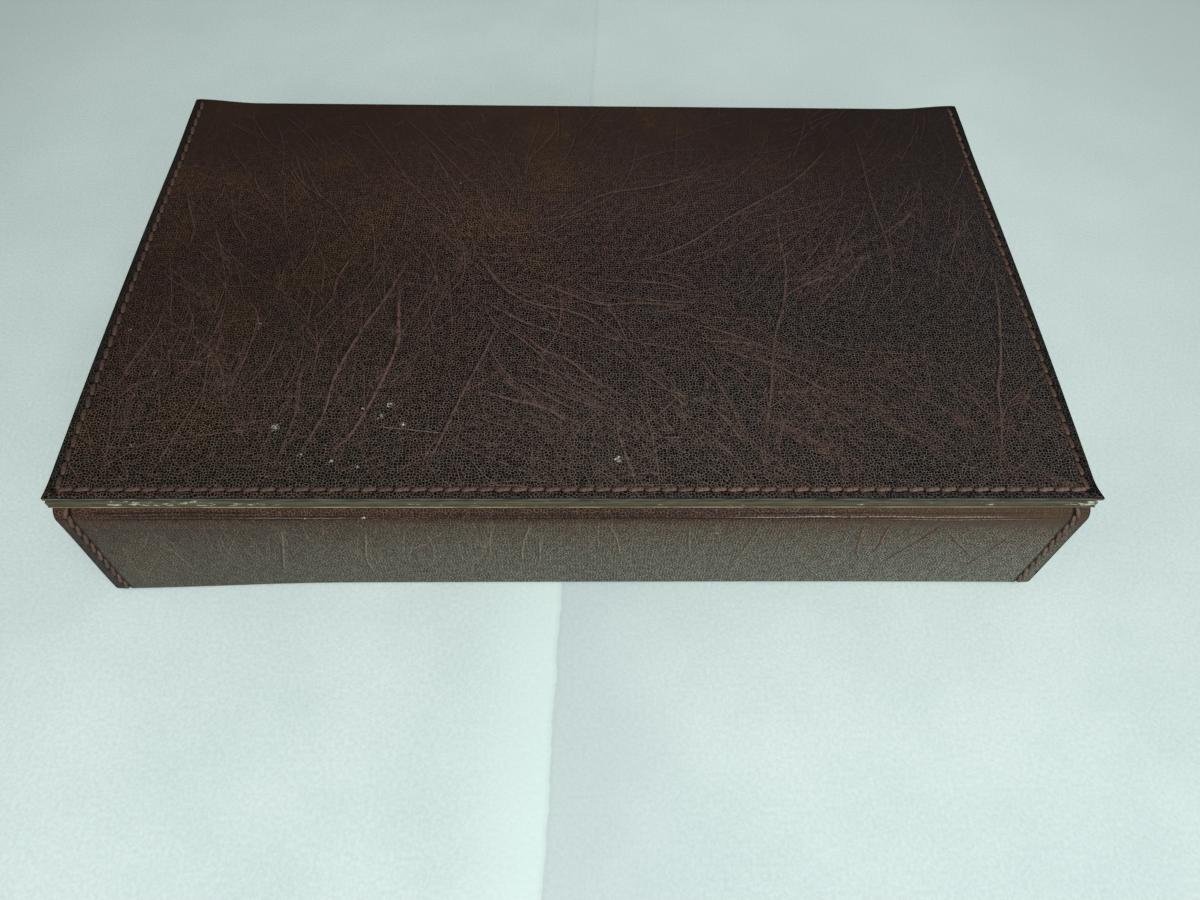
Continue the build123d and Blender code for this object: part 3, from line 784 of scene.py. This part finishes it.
def painted_edge():
    """The lid board's cut edge: grey-green paint over card, with long streaks, rubbed through to pale flecks
    along its lower half and most of all near the left and right ends."""
    f = Finish("painted_board_edge")
    place = f.attribute("hide_place")
    x, s, depth = f.split(place)
    drift = f.noise(f.add("ShaderNodeCombineXYZ", {0: x * 0.10, 1: depth}), 0.8, 3)
    base = f.mix(f.step(depth, 0.25, 0.9), "474436", "423a22")
    base = f.scaled(base, f.step(drift, 0.34, 0.66, 0.7, 1.3))
    near_left = f.step(abs(x + 118.0), 14, 38, 0.10, 0)
    near_right = f.step(x, 146, 158, 0, 0.14) * f.step(s, 4, 24, 1.0, 0.2)
    low = f.step(depth, 0.5, 1.6, 0, 0.05)
    grit = f.noise(f.stretched(place, (0.3, 1.0, 1.0)), 0.9, 3, 0.65)
    base = f.mix(f.step(grit + near_left + near_right + low, 0.67, 0.75), base, "a5a899")
    return f.done(drift * 0.08, Base_Color=base, Roughness=0.5, Specular_IOR_Level=0.35)


def tan_leather(name, laid):
    """Thin tan lining leather, suede-soft, with a faint drift of colour and fine pores. Its cut edge is
    paler, with a few darker stretches."""
    f = Finish(name)
    place = place_of(f, laid)
    fine = f.noise(place, 0.5, 3, 0.6)
    base = f.mix(f.step(f.noise(place, 60.0, 2), 0.3, 0.75), "94754e", "9d7e56")
    if laid:
        x, _, depth = f.split(place)
        cream = f.mix(f.step(f.noise(place, 11.0, 3), 0.38, 0.62), "7d6445", "ad9874")
        cream = f.mix(f.step(x, 110, 150), cream, "6b5d47")
        edge = f.mix(f.step(depth, 0.22, 0.44), "5d3c24", cream)
        edge = f.mix(f.step(depth, 0.66, 0.82), edge, "3d392b")
        base = f.mix(f.step(depth, 0.02, 0.10), base, edge)
    base = f.mix(f.step(fine, 0.45, 0.7, 0, 0.4), base, "6e5232")
    return f.done(fine * 0.08, Base_Color=base, Roughness=0.75, Specular_IOR_Level=0.3)


def card(name):
    """Grey-brown bookbinder's board."""
    f = Finish(name)
    fibre = f.noise(place_of(f, False), 1.2, 4, 0.65)
    return f.done(fibre * 0.1, Base_Color=f.mix(fibre, "6f675a", "8d8473"), Roughness=0.9)


def thread(name, left, right, dark):
    """Waxed linen thread, worn into the leather. Its colour goes from left to right along the box, and each
    stitch is a little lighter or darker, with soft slanting plies that are painted darker between them, as
    shade. Its ends are painted dark where they dive into the holes, as shade, less so at the left."""
    f = Finish(name)
    along, around, number = f.split(f.attribute("thread_way"))
    place = place_of(f, False)
    x = f.split(place)[0]
    ply = f.step(f.math("PINGPONG", along * 3.0 + around, 0.5), 0.0, 0.3)
    shade = f.add("ShaderNodeTexWhiteNoise", {"W": number}, noise_dimensions="1D")
    base = f.mix(f.step(x, -130, 120), left, right)
    base = f.mix(f.step(shade, 0, 1, 0.0, 0.45), base, dark)
    base = f.mix(f.step(ply, 0, 1, 0.35, 0), base, dark)
    base = f.mix(f.step(f.noise(place, 0.5, 2, 0.6), 0.42, 0.7, 0, 0.5), base, dark)
    # Painted shade at the thread's ends, where it dives into its holes.
    end_shade = f.step(abs(along - 0.5), 0.40, 0.5) * f.step(x, -150, -90, 0.3, 0.6)
    base = f.mix(end_shade, base, HOLE_SHADE)
    return f.done(ply * 0.08, Base_Color=base, Roughness=0.6, Specular_IOR_Level=0.3)


# ---------------------------------------------------------------- the lid's and the back's hide
BULK_WAVE = 0.16  # slow swells of the padded face
CUT_PROFILE = [(0.12, 0.08), (0.22, 0.30), (0.26, 0.9), (0.2, 1.5), (0.05, HIDE)]


def swells(x, s, rng, height, shortest, longest, count=14):
    """Slow swells: a sum of plane waves with random directions, lengths and phases."""
    total = np.zeros(x.shape)
    for _ in range(count):
        angle, phase = rng.uniform(0, 2 * np.pi, 2)
        length = rng.uniform(shortest, longest)
        total += np.sin((x * np.cos(angle) + s * np.sin(angle)) * 2 * np.pi / length + phase)
    return height * total / np.sqrt(count)


def groove(offset):
    """The height of a pressed stitch groove at an offset from its middle: a rounded trough, with leather
    pushed up a little at both sides."""
    trough = 1 - ease(np.abs(offset), 0.45 * GROOVE_HALF, 1.15 * GROOVE_HALF)
    shoulders = np.exp(-(((np.abs(offset) - 1.7 * GROOVE_HALF) / (0.5 * GROOVE_HALF)) ** 2))
    return -GROOVE_DEPTH * trough + 0.06 * shoulders


def rounding(inside):
    """How far the face drops towards a cut edge, as a quarter-round over the last half millimetre."""
    reach = 0.55
    t = 1 - np.clip(inside / reach, 0, 1)
    return -reach * 0.5 * (1 - np.sqrt(np.clip(1 - t * t, 0, 1)))


def scraped(x, s, patches):
    """How much each point is scraped: the highest of a bell curve about each patch (x, s, radius)."""
    return np.max([np.exp(-((x - u) ** 2 + (s - v) ** 2) / radius**2) for u, v, radius in patches], axis=0)


# Where the face is scraped, as (x, s, radius of the patch).
SCUFFS = [
    (-139, 47.5, 0.9), (-109.5, 69, 1.0), (-95.5, 26, 1.9), (-60.5, 35, 1.6), (-86, 15, 1.0), (-69, 33, 1.0),
    (-68, 11, 1.1), (-55, 27, 1.5), (-46, 16, 0.9), (12.5, 14, 1.7), (-46, 142, 0.9), (-50, 37.5, 1.0),
    (-139, 18.6, 0.9), (-63, 30, 1.4), (-76, 13, 1.0), (-149, 22, 0.8), (-152, 66, 0.9),
]

HIDE_X = graded(-HALF, EDGE_BAND - HALF, FINE_STEP, HALF - EDGE_BAND, HIDE_STEP, HALF, FINE_STEP)
lid_s = graded(
    0, 5.5, FINE_STEP, SPINE_START - 1, HIDE_STEP, BACK_START, BEND_STEP, HINGE_S + 3, BEND_STEP,
    BACK_FOLD, 1.5, UNDER_BACK, BEND_STEP, LID_LINE_END, 6.0,
)
grid_x, grid_s = np.meshgrid(HIDE_X, lid_s)
rng = np.random.default_rng(7)

lid_creases = Creases(HIDE_X, lid_s)
for strength, half_width, points in LID_CREASES:
    lid_creases.press(points, strength, half_width)

# The lid's random creases, kind by kind: how many, the two corners of their region, their lengths, the angle
# from the flow, its spread, their strengths and half widths. Towards the front edge they fade, and the last
# kind, a crackle without a direction, takes over there.
LID_STRAYS = [
    (620, (-154, 6), (154, 188), (8, 44), 0.0, 0.27, (0.35, 1.0), (0.13, 0.24)),
    (76, (-40, 24), (100, 96), (14, 50), 0.0, 0.2, (0.45, 1.0), (0.18, 0.32)),
    (340, (-154, 6), (154, 188), (5, 18), 1.2, 0.5, (0.25, 0.7), (0.17, 0.17)),
    (240, (-152, 3), (152, 50), (7, 26), 0.8, 1.4, (0.5, 1.0), (0.13, 0.2)),
]
CRACKLE_END = 60
for count, low, high, lengths, turned, spread, strengths, widths in LID_STRAYS:
    lines = strays(rng, count, low, high, lengths, lambda p, by=turned: flow_at(p) + by, spread)
    far = ease(lines[:, :, 1].mean(axis=1), 12, CRACKLE_END)
    fading = 1.0 if high[1] < CRACKLE_END else 0.6 + 0.4 * far
    lid_creases.press_all(lines, rng.uniform(*strengths, count) * fading, rng.uniform(*widths, count))

from_middle = np.abs(grid_x)
to_side = HALF - from_middle
to_edge = np.minimum(to_side, grid_s)
front_groove = np.where(from_middle < LID_ROW_X + GROOVE_HALF, groove(grid_s - LID_ROW_S), 0)
beside_row = (grid_s > LID_ROW_S - GROOVE_HALF) & (grid_s < SPINE_START)
side_groove = np.where(beside_row, groove(from_middle - LID_ROW_X), 0)
seam_groove = np.where(grid_s > BACK_SEAM_START, groove(from_middle - SEAM_X), 0)
lid_rise = np.minimum(np.minimum(front_groove, side_groove), seam_groove)
calm = ease(to_edge, 4, 14) * (1 - ease(grid_s, SPINE_START - 8, SPINE_START))
lid_rise = lid_rise + calm * (swells(grid_x, grid_s, rng, BULK_WAVE, 26, 90) + lid_creases.relief())
lid_rise = lid_rise + rounding(to_edge)

cover = panel(
    "lid_and_back_hide", lid_line, HIDE_X, lid_s, HIDE, CUT_PROFILE, rise=lid_rise, shape=spring_hide
)
lid_creases.mark_on(cover)

# Wear and sheen are how scraped and how rubbed a point is, and how much painted sheen lies on it: a pale
# reflection, laid towards the front and the right of the lid. The strip outside the front row is rubbed
# paler and those at the sides are burnished darker.
by_side = grid_s >= to_side
edge_strip = 1 - ease(to_edge, 2.0, 4.4)
front_strip = edge_strip * (0.7 - 0.6 * ease(grid_x, 60, 150)) - 0.8 * (1 - ease(grid_s, 0.5, 1.3))
lid_sheen = 0.16 * (1 - ease(grid_s, 5, 110)) * ease(grid_x, -170, 60) * (1 - edge_strip)
mark(cover, "wear_and_sheen", scraped(grid_x, grid_s, SCUFFS), np.where(by_side, -edge_strip, front_strip), lid_sheen)

# Tone and shade are how warm a point is, how faint its grain is, which fades the painted glints towards the
# back, and how bright it is painted.
at_left, at_right = ease(-grid_x, 30, 120), ease(grid_x, 30, 120)
middle, rear = ease(grid_s, 30, 90), ease(grid_s, 90, 160)
warm = 0.27 + 0.003 * grid_s - 0.0018 * grid_x
faint = np.maximum(0.92 * ease(grid_s, 92, 180), 0.45 * ease(-grid_x, 20, 110) * ease(grid_s, 20, 90))
# The shade is painted shade: the lid is darker at the front and at the sides than at the rear middle.
shade = 0.48 + 0.05 * middle + 0.30 * rear
shade = shade + at_left * (0.02 - 0.085 * middle - 0.11 * rear)
shade = shade + at_right * (-0.05 + 0.02 * middle - 0.17 * rear)
mark(cover, "tone_and_shade", warm, faint, shade)
ways = ways_of(flow_at(np.stack([grid_x.ravel(), grid_s.ravel()], 1)))
mark(cover, "fine_ways", *(ways.T * ease(to_side, 3, 8).ravel()))

# How far along its row and across it a point is, in stitches and millimetres, and the kind of row.
by_front = np.abs(grid_s - LID_ROW_S) < np.abs(from_middle - LID_ROW_X)
below_hinge = grid_s > HINGE_S
front_count = round(2 * LID_ROW_X / PITCH)
side_count = round((SPINE_START - LID_ROW_S) / PITCH)
way_front = (grid_x + LID_ROW_X) / (2 * LID_ROW_X) * front_count
way_side = (grid_s - LID_ROW_S) / (SPINE_START - LID_ROW_S) * side_count
way_seam = (grid_s - BACK_SEAM_START) / PITCH
along = np.where(by_front, way_front, np.where(below_hinge, way_seam, way_side))
beside = from_middle - np.where(below_hinge, SEAM_X, LID_ROW_X)
across = np.where(by_front, grid_s - LID_ROW_S, beside)
on_row = (np.abs(across) < ROW_REACH) & ((grid_s < SPINE_START) | (grid_s > BACK_SEAM_START - 0.5))
kind = on_row * np.where(below_hinge, 2.0, 1.0)  # 1 is a row on the lid, 2 a seam of the body
mark(cover, "stitch_way", along, across, kind)

brown_hide = leather("waxed_brown_hide", laid=True)
cover.data.materials.append(brown_hide)
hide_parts("lid_cover", "body_cover")
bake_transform(cover)

# ---------------------------------------------------------------- the body's hide
# The front wall's creases, as (strength, half width, points), each point (x, z) on the wall's face.
WALL_CREASES = [
    (-1.0, 0.34, [(114.5, 45), (113, 39), (109.5, 31), (106, 24), (103, 17)]),
    (0.9, 0.24, [(89.5, 47), (90.6, 40), (91.5, 32), (93, 24), (96, 17)]),
    (0.8, 0.24, [(99, 47), (98.5, 36), (99, 28), (97, 21)]),
    (0.6, 0.24, [(117, 41), (123, 33), (129, 26), (133, 20)]),
    (-0.6, 0.26, [(140, 37), (137, 28), (133.5, 19), (130.6, 10)]),
    (0.6, 0.20, [(142, 44), (141, 38), (140.5, 35)]),
    (0.5, 0.22, [(9, 45), (11.5, 38), (13, 31), (14, 22)]),
    (0.5, 0.22, [(35, 44), (36, 32), (37.6, 20)]),
    (0.5, 0.22, [(58, 45), (56, 34), (53.6, 22), (51, 13)]),
    (0.5, 0.20, [(42, 47), (44, 40), (46, 32)]),
    (0.6, 0.26, [(-92.6, 44), (-94, 34), (-97, 22), (-100.5, 8)]),
    (0.6, 0.22, [(-66, 43), (-68, 32), (-70, 20), (-69, 6)]),
    (0.5, 0.22, [(-15, 46), (-15.6, 40), (-17.6, 31), (-19, 16)]),
    (0.5, 0.20, [(-27, 42), (-28.4, 30), (-29, 20)]),
    (0.4, 0.20, [(-12, 38), (-12.6, 24), (-13, 14)]),
    (0.4, 0.20, [(-48, 40), (-47, 28), (-48.4, 18)]),
    (0.4, 0.20, [(-112, 40), (-114, 30), (-113, 18)]),
    (0.4, 0.20, [(-134, 36), (-131, 26), (-129, 12)]),
    (0.4, 0.20, [(72, 38), (76, 28), (84, 18), (88, 10)]),
]
WALL_SCUFFS = [(-105.6, 30, 0.8), (73.5, 42.6, 0.5), (-66, 47.6, 1.2), (-84, 47.4, 0.8)]
# The creases along the rolled top, as (strength, half width, level, first x, last x).
SHOULDER_CREASES = [
    (-1.0, 0.34, 49.4, -157, -90), (-0.9, 0.30, 48.2, -157, -50), (-1.0, 0.36, 46.9, -158, -70),
    (-0.6, 0.26, 48.6, -60, 40), (-0.7, 0.30, 47.4, -46, 70), (1.5, 0.24, 47.9, 26, 157),
    (-0.8, 0.30, 49.2, 40, 156), (-0.8, 0.30, 47.2, 60, 156), (1.3, 0.20, 46.6, 84, 157),
    (1.2, 0.20, 47.6, -110, -62),
]
body_s = graded(
    0, FRONT_FOLD, 8.0, FRONT_START, BEND_STEP, SHOULDER_START, HIDE_STEP, TOP_START, 0.5, TONGUE_TOP, 0.5
)
wall_x, wall_s = np.meshgrid(HIDE_X, body_s)
S_AT_FOOT = FRONT_START - FOLD_RADIUS  # the distance along the hide at which the wall's height counts from 0
wall_z = wall_s - S_AT_FOOT
wall_creases = Creases(HIDE_X, body_s)
for strength, half_width, points in WALL_CREASES:
    strength = 1.3 * strength if strength < 0 else min(1.4 * strength, 0.93)
    wall_creases.press(np.array(points) + (0, S_AT_FOOT), strength, 1.3 * half_width)
for strength, half_width, z, start, stop in SHOULDER_CREASES:
    run = np.linspace(start, stop, 12)
    level = S_AT_FOOT + z + 0.12 * np.sin(run / 11) + 0.08 * np.sin(run / 4.3 + z)
    wall_creases.press(np.stack([run, level], 1), strength, half_width)
WALL_WAY = 93  # the way of the wall's fine network, in degrees
UPRIGHT_COUNT, UPRIGHT_WAY = 260, 1.5  # the wall's random creases stand at this angle, in radians
low, high = (-152, FRONT_START), (152, SHOULDER_START - 4)
upright = strays(rng, UPRIGHT_COUNT, low, high, (8, 36), lambda p: np.full(len(p), UPRIGHT_WAY), 0.24)
strengths = rng.uniform(0.15, 0.6, UPRIGHT_COUNT)
wall_creases.press_all(upright, strengths, rng.uniform(0.13, 0.24, UPRIGHT_COUNT))

across = np.abs(wall_x) - SEAM_X
on_wall = ease(wall_s, FRONT_START + 1, FRONT_START + 8)
flat_part = on_wall * (1 - ease(wall_s, SHOULDER_START - 8, SHOULDER_START))
body_rise = np.where(wall_s > FRONT_FOLD - 8, groove(across), 0)
body_rise = body_rise + flat_part * swells(wall_x, wall_s, rng, 0.14, 24, 80)
body_rise = body_rise + on_wall * wall_creases.relief() + rounding(HALF - np.abs(wall_x))
wrap = panel("body_hide", body_line, HIDE_X, body_s, HIDE, CUT_PROFILE, rise=body_rise, shape=lean_wall)
wall_creases.mark_on(wrap)

# The wall is painted with a sheen, the reflection of the pale table, greyer towards its foot. It covers all
# but the top, where the sheen falls away over a few millimetres, and the end strips, and some of it also
# lies over the right of the shoulder. The shoulder is rubbed, and the strips beyond the seams are burnished,
# most of all the left one.
leftward, rightward = ease(-wall_x, 20, 120), ease(wall_x, 30, 120)
wall_strip = 1 - ease(HALF - np.abs(wall_x), 2.6, 4.8)
over_shoulder = ease(wall_s, SHOULDER_START - 7, SHOULDER_START - 3)
SHEEN_TOP = 47
below_top = np.clip(SHEEN_TOP - wall_z, 0, None)
pale = 0.6 * (1 - np.exp(-below_top / (5 + 5 * leftward))) + 0.2 * np.clip(below_top / SHEEN_TOP, 0, 1)
pale = pale * (1 + np.where(wall_x < 0, 0.42, 0.32) * wall_x / HALF)
pale = pale * (1 - wall_strip * np.where(wall_x < 0, 0.8, 0.2))
pale = np.maximum(pale, 0.3 * rightward * over_shoulder)
wall_rub = np.where(wall_x < 0, -0.6, -0.1) * wall_strip * (1 - over_shoulder) + over_shoulder
mark(wrap, "wear_and_sheen", scraped(wall_x, wall_z, WALL_SCUFFS), wall_rub, pale)
mark(wrap, "sheen_hue", 1 - np.clip((wall_z - 4) / 42, 0, 1) ** 2.2)
# The shade is painted too. It is lighter over the shoulder, which faces up to the light, and darker in a
# band just under it at the left, as shade in the crease below the roll.
shade = 0.635 + 0.055 * leftward - 0.02 * ease(wall_x, 20, 120)
shade = shade + over_shoulder * (0.05 + 0.17 * ease(-wall_x, 30, 120) + 0.15 * rightward)
shade = shade - 0.13 * leftward * ease(wall_z, 39, 44) * (1 - ease(wall_z, 46, 48))
faint = 0.55 + 0.12 * ease(-wall_x, 20, 130) + 0.35 * ease(wall_x, 50, 120) * over_shoulder
mark(wrap, "tone_and_shade", 0.5 - 0.0018 * wall_x, faint, shade)
on_front = ease(wall_s, FRONT_START - 4, FRONT_START).ravel()
mark(wrap, "fine_ways", *(ways_of(np.full(wall_x.size, np.radians(WALL_WAY))).T * on_front))
mark(wrap, "stitch_way", (wall_s - FRONT_SEAM_START) / PITCH, across, 2.0 * (np.abs(across) < ROW_REACH))
wrap.data.materials.append(brown_hide)
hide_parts("body_cover")
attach(wrap, "box")

tongue_x = graded(-TONGUE_HALF, TONGUE_HALF, BOARD_STEP)
tongue_s = graded(TONGUE_TOP, LIP_START, 0.4, TONGUE_START, 0.4, body_line.length, 1.5)
TONGUE = HIDE - 0.2  # the tongue's leather is pared a little
tongue_edge = CUT_PROFILE[:-1] + [(0.05, TONGUE)]
tongue = panel("turned_in_top", body_line, tongue_x, tongue_s, TONGUE, tongue_edge)
mark(tongue, "tone_and_shade", *(np.full(len(tongue.data.vertices), part) for part in (0.5, 0.3, 0.9)))
tongue.data.materials.append(brown_hide)
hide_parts("body_cover")
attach(tongue, "box")

# ---------------------------------------------------------------- the lid's board and lining
def lid_sheet(name, start, end, half, thickness, edge):
    """A flat sheet in the lid, so wide to each side, from one point of the section to another."""
    line = Section([start, end], [])
    x = graded(-half, half, BOARD_STEP)
    return panel(name, line, x, graded(0, line.length, BOARD_STEP), thickness, edge, shape=spring_lid)


BOARD = LID_BOARD_HIGH[2] - LID_BOARD_LOW[2]
BOARD_SIDE, LINING_SIDE = 0.35, 1.0  # how much further in the board and the lining start at the sides
BOARD_PROFILE = [
    (0.50, 0.06), (0.62, 0.25), (0.64, 0.8), (0.62, 1.1), (0.50, 1.22), (0.62, 1.36), (0.66, 1.7),
    (0.60, 2.05), (0.40, BOARD),
]
top = LID_BOARD_HIGH[2]
board = lid_sheet(
    "painted_board", (LID_BOARD_LOW[1], top), (LID_BOARD_HIGH[1], top), LID_BOARD_HIGH[0] - BOARD_SIDE,
    BOARD, BOARD_PROFILE,
)
board.data.materials.append(painted_edge())
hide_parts("lid_board")
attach(board, "lid")

LINING = LID_LINING_HIGH[2] - LID_LINING_LOW[2]
LINING_PROFILE = [(0.70, 0.1), (0.86, 0.3), (0.90, 0.6), (0.84, 0.8), (0.60, LINING)]
under = LID_LINING_LOW[2]
lining = lid_sheet(
    "tan_lid_lining", (LID_LINING_HIGH[1], under), (LID_LINING_LOW[1], under),
    LID_LINING_HIGH[0] - LINING_SIDE, LINING, LINING_PROFILE,
)
lining.data.materials.append(tan_leather("tan_lining_laid", laid=True))
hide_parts("lid_lining")
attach(lining, "lid")

# ---------------------------------------------------------------- the thread
ROW_THREAD = (0.74, 0.34, 5.7)  # a lid stitch: half its width, half its height, and its length
SEAM_THREAD = (0.74, 0.53, 7.8)  # the body's heavier thread, whose stitches overlap like a rope's strands
ROW_RISE, SEAM_RISE = 0.20, 0.45  # how far a stitch's crown stands above the leather
ROW_SLANT, SEAM_SLANT = 9, 15


def sew(name, line, x, s, way_of_row, rise, size, shape=None):
    """A row of stitches. Each is a short bow of thread: its middle line climbs out of one hole and dives
    into the next, by one less the fourth power of the way along, and its section is an ellipse that thins
    towards both ends. x and s are the stitches' middles on the flat hide, and their way is in degrees."""
    x, s = np.broadcast_arrays(x, s)
    half_width, half_height, length = size
    around = np.linspace(0, 1, 7)[:-1]
    t = np.linspace(-1, 1, 9)
    way, turn = np.meshgrid(t, around, indexing="ij")
    thin = np.sqrt(np.clip(1 - 0.8 * way**4, 0.05, 1))
    across = half_width * thin * np.cos(2 * np.pi * turn)
    lift = rise - half_height - 0.9 * way**4
    height = lift + half_height * thin * np.sin(2 * np.pi * turn)
    along = 0.5 * length * way
    count = len(x)
    angle = np.radians(way_of_row)
    x = x[:, None, None] + along * np.cos(angle) - across * np.sin(angle)
    s = s[:, None, None] + along * np.sin(angle) + across * np.cos(angle)
    y, z = line.place(s, -height)
    points = np.stack([x, y, z], 3).reshape(-1, 3)
    if shape:
        points = shape(points)
    number = np.arange(way.size).reshape(way.shape)
    after = np.roll(number, -1, axis=1)
    side = np.stack([number[:-1], number[1:], after[1:], after[:-1]], 2).reshape(-1, 4)
    firsts = np.arange(count) * way.size
    faces = (firsts[:, None, None] + side).reshape(-1, 4).tolist()
    for first in firsts:
        faces.append((first + number[0]).tolist())
        faces.append((first + number[-1][::-1]).tolist())
    made = make_object(name, points, faces, smooth_angle=80)
    fields = (0.5 * (way + 1), turn, np.arange(count)[:, None, None])
    mark(made, "thread_way", *(np.broadcast_to(field, x.shape) for field in fields))
    return made


def between_holes(start, stop, count):
    """The middles of the stitches that join evenly spaced holes."""
    return start + (np.arange(count) + 0.5) * (stop - start) / count


front_thread = thread("terracotta_thread", "564136", "775b52", "32231d")
side_thread = thread("brown_thread", "523c31", "583f33", "2a1f1a")
seam_thread = thread("russet_thread", "684a3a", "735a4b", "2e1b15")

x = between_holes(-LID_ROW_X, LID_ROW_X, front_count)
row = sew("lid_front_thread", lid_line, x, LID_ROW_S, ROW_SLANT, ROW_RISE, ROW_THREAD, spring_hide)
row.data.materials.append(front_thread)
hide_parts("lid_front_stitches")
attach(row, "lid")
s = between_holes(LID_ROW_S, SPINE_START, side_count)
front_s = between_holes(FRONT_SEAM_START, FRONT_SEAM_START + FRONT_SEAM_COUNT * PITCH, FRONT_SEAM_COUNT)
back_s = between_holes(BACK_SEAM_START, BACK_SEAM_START + BACK_SEAM_COUNT * PITCH, BACK_SEAM_COUNT)
for side, name in ((-1, "left"), (1, "right")):
    x, way = side * LID_ROW_X, 90 + ROW_SLANT
    row = sew(f"lid_{name}_thread", lid_line, x, s, way, ROW_RISE, ROW_THREAD, spring_hide)
    row.data.materials.append(side_thread)
    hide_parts(f"lid_{name}_stitches")
    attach(row, "lid")
    x, way = side * SEAM_X, 90 + side * SEAM_SLANT
    front_name, back_name = f"{name}_front_seam_thread", f"{name}_back_seam_thread"
    for piece in (
        sew(front_name, body_line, x, front_s, way, SEAM_RISE, SEAM_THREAD, lean_wall),
        sew(back_name, lid_line, x, back_s, way, SEAM_RISE, SEAM_THREAD),
    ):
        piece.data.materials.append(seam_thread)
        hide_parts(f"{name}_seam_stitches")
        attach(piece, "box")

# ---------------------------------------------------------------- the CAD nodes that stay
SIDES = ("left_side", "right_side")
STAYING = {
    "cover": (SIDES, leather("waxed_brown_wall", laid=False)),
    "lining": (("front", "back", "floor") + SIDES, tan_leather("tan_lining", laid=False)),
    "board": (("front", "base", "back") + SIDES, card("grey_card")),
}
for layer, (places, material) in STAYING.items():
    for where in places:
        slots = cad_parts[f"{where}_{layer}"].data.materials
        slots.clear()
        slots.append(material)

# ---------------------------------------------------------------- table, light and camera
FLOOR_SIZE = 6.0
PAPER_SHADE = "aab6b2"
bpy.ops.mesh.primitive_plane_add(size=FLOOR_SIZE, location=(0, 0, 0))
table = bpy.context.object
table.name = "table"
f = Finish("pale_paper")
place = place_of(f, False)
x, y, _ = f.split(place)
paper = f.mix(f.step(f.noise(place, 60.0, 4, 0.6), 0.25, 0.75), "c9d6d3", "d3dfdc")
paper = f.mix(f.step(abs(x), 140, 420, 0, 0.8), paper, PAPER_SHADE)
paper = f.mix(f.step(y, 0, 450, 0, 0.4), paper, PAPER_SHADE)
paper = f.scaled(paper, f.step(f.noise(place, 1.3, 3, 0.7), 0.3, 0.7, 0.93, 1.06))
# An old fold runs away from the front. Before the box its left flank catches the light and its right one
# doesn't, and behind the box it is the other way round.
past_fold = x - y * 0.044 + 3.2 - f.noise(place, 16.0, 3, 0.6) * 3.0
right_flank = f.step(past_fold, -0.4, 0.4)
in_front = f.step(y, -100, 100, 1, 0)
bright = (1.0 - right_flank) * f.step(past_fold, -40, 0, 0, 0.5) * in_front
dark = right_flank * f.step(past_fold, 0, 60, 0.45, 0.05) * in_front
paper = f.mix(bright, paper, "deeee8")
paper = f.mix(dark, paper, "b4bfc1")
paper = f.mix(right_flank * (1.0 - in_front) * 0.15, paper, "dde8e6")
paper = f.mix(f.step(abs(past_fold), 0.4, 2.0, 0.16, 0), paper, PAPER_SHADE)
table.data.materials.append(f.done(Base_Color=paper, Roughness=0.9))

bpy.context.scene.world = bpy.data.worlds.new("soft_room")
room = Finish(bpy.context.scene.world)
_, toward_back, upward = room.split(room.add("ShaderNodeTexCoord"))
sky = room.step(upward - toward_back * 0.7, -0.3, 1.0, 0.08, 0.46)
light = room.mix(sky, (0, 0, 0, 1), (0.93, 1.0, 1.0, 1))
seen = room.mix(room.add("ShaderNodeLightPath"), light, (0.86, 0.9, 0.89, 1))
glow = room.add("ShaderNodeBackground", {"Color": seen, "Strength": 1.0})
room.node("ShaderNodeOutputWorld", {"Surface": glow})

WINDOW_PLACE, WINDOW_SIZE, WINDOW_POWER = (0.24, -0.95, 1.12), 1.3, 23.5  # it faces the box
lamp = bpy.data.lights.new("window", "AREA")
lamp.size = WINDOW_SIZE
lamp.energy = WINDOW_POWER
lamp.color = (0.96, 1.0, 1.0)
window = bpy.data.objects.new("window", lamp)
facing = Vector(WINDOW_PLACE).to_track_quat("Z", "Y").to_matrix().to_4x4()
window.matrix_world = Matrix.Translation(WINDOW_PLACE) @ facing
bpy.context.scene.collection.objects.link(window)

CAMERA_PLACE = (0.99, -231.5, 285.7)
CAMERA_PITCH, CAMERA_YAW, CAMERA_ROLL = 56.31, -2.185, 1.864  # the pitch is down from level, all in degrees
CAMERA_LENS = 26.51
SENSOR_WIDTH = 36.0
camera_turn = Matrix()
for angle, axis in ((CAMERA_YAW, "Z"), (90 - CAMERA_PITCH, "X"), (CAMERA_ROLL, "Z")):
    camera_turn = camera_turn @ Matrix.Rotation(np.radians(angle), 4, axis)
camera_data = bpy.data.cameras.new("camera")
camera_data.lens = CAMERA_LENS
camera_data.sensor_width = SENSOR_WIDTH
camera_data.clip_start = 0.01
camera = bpy.data.objects.new("camera", camera_data)
camera.matrix_world = Matrix.Translation(np.array(CAMERA_PLACE) * MM) @ camera_turn
bpy.context.scene.collection.objects.link(camera)
bpy.context.scene.camera = camera
bpy.context.scene.view_settings.view_transform = "Standard"
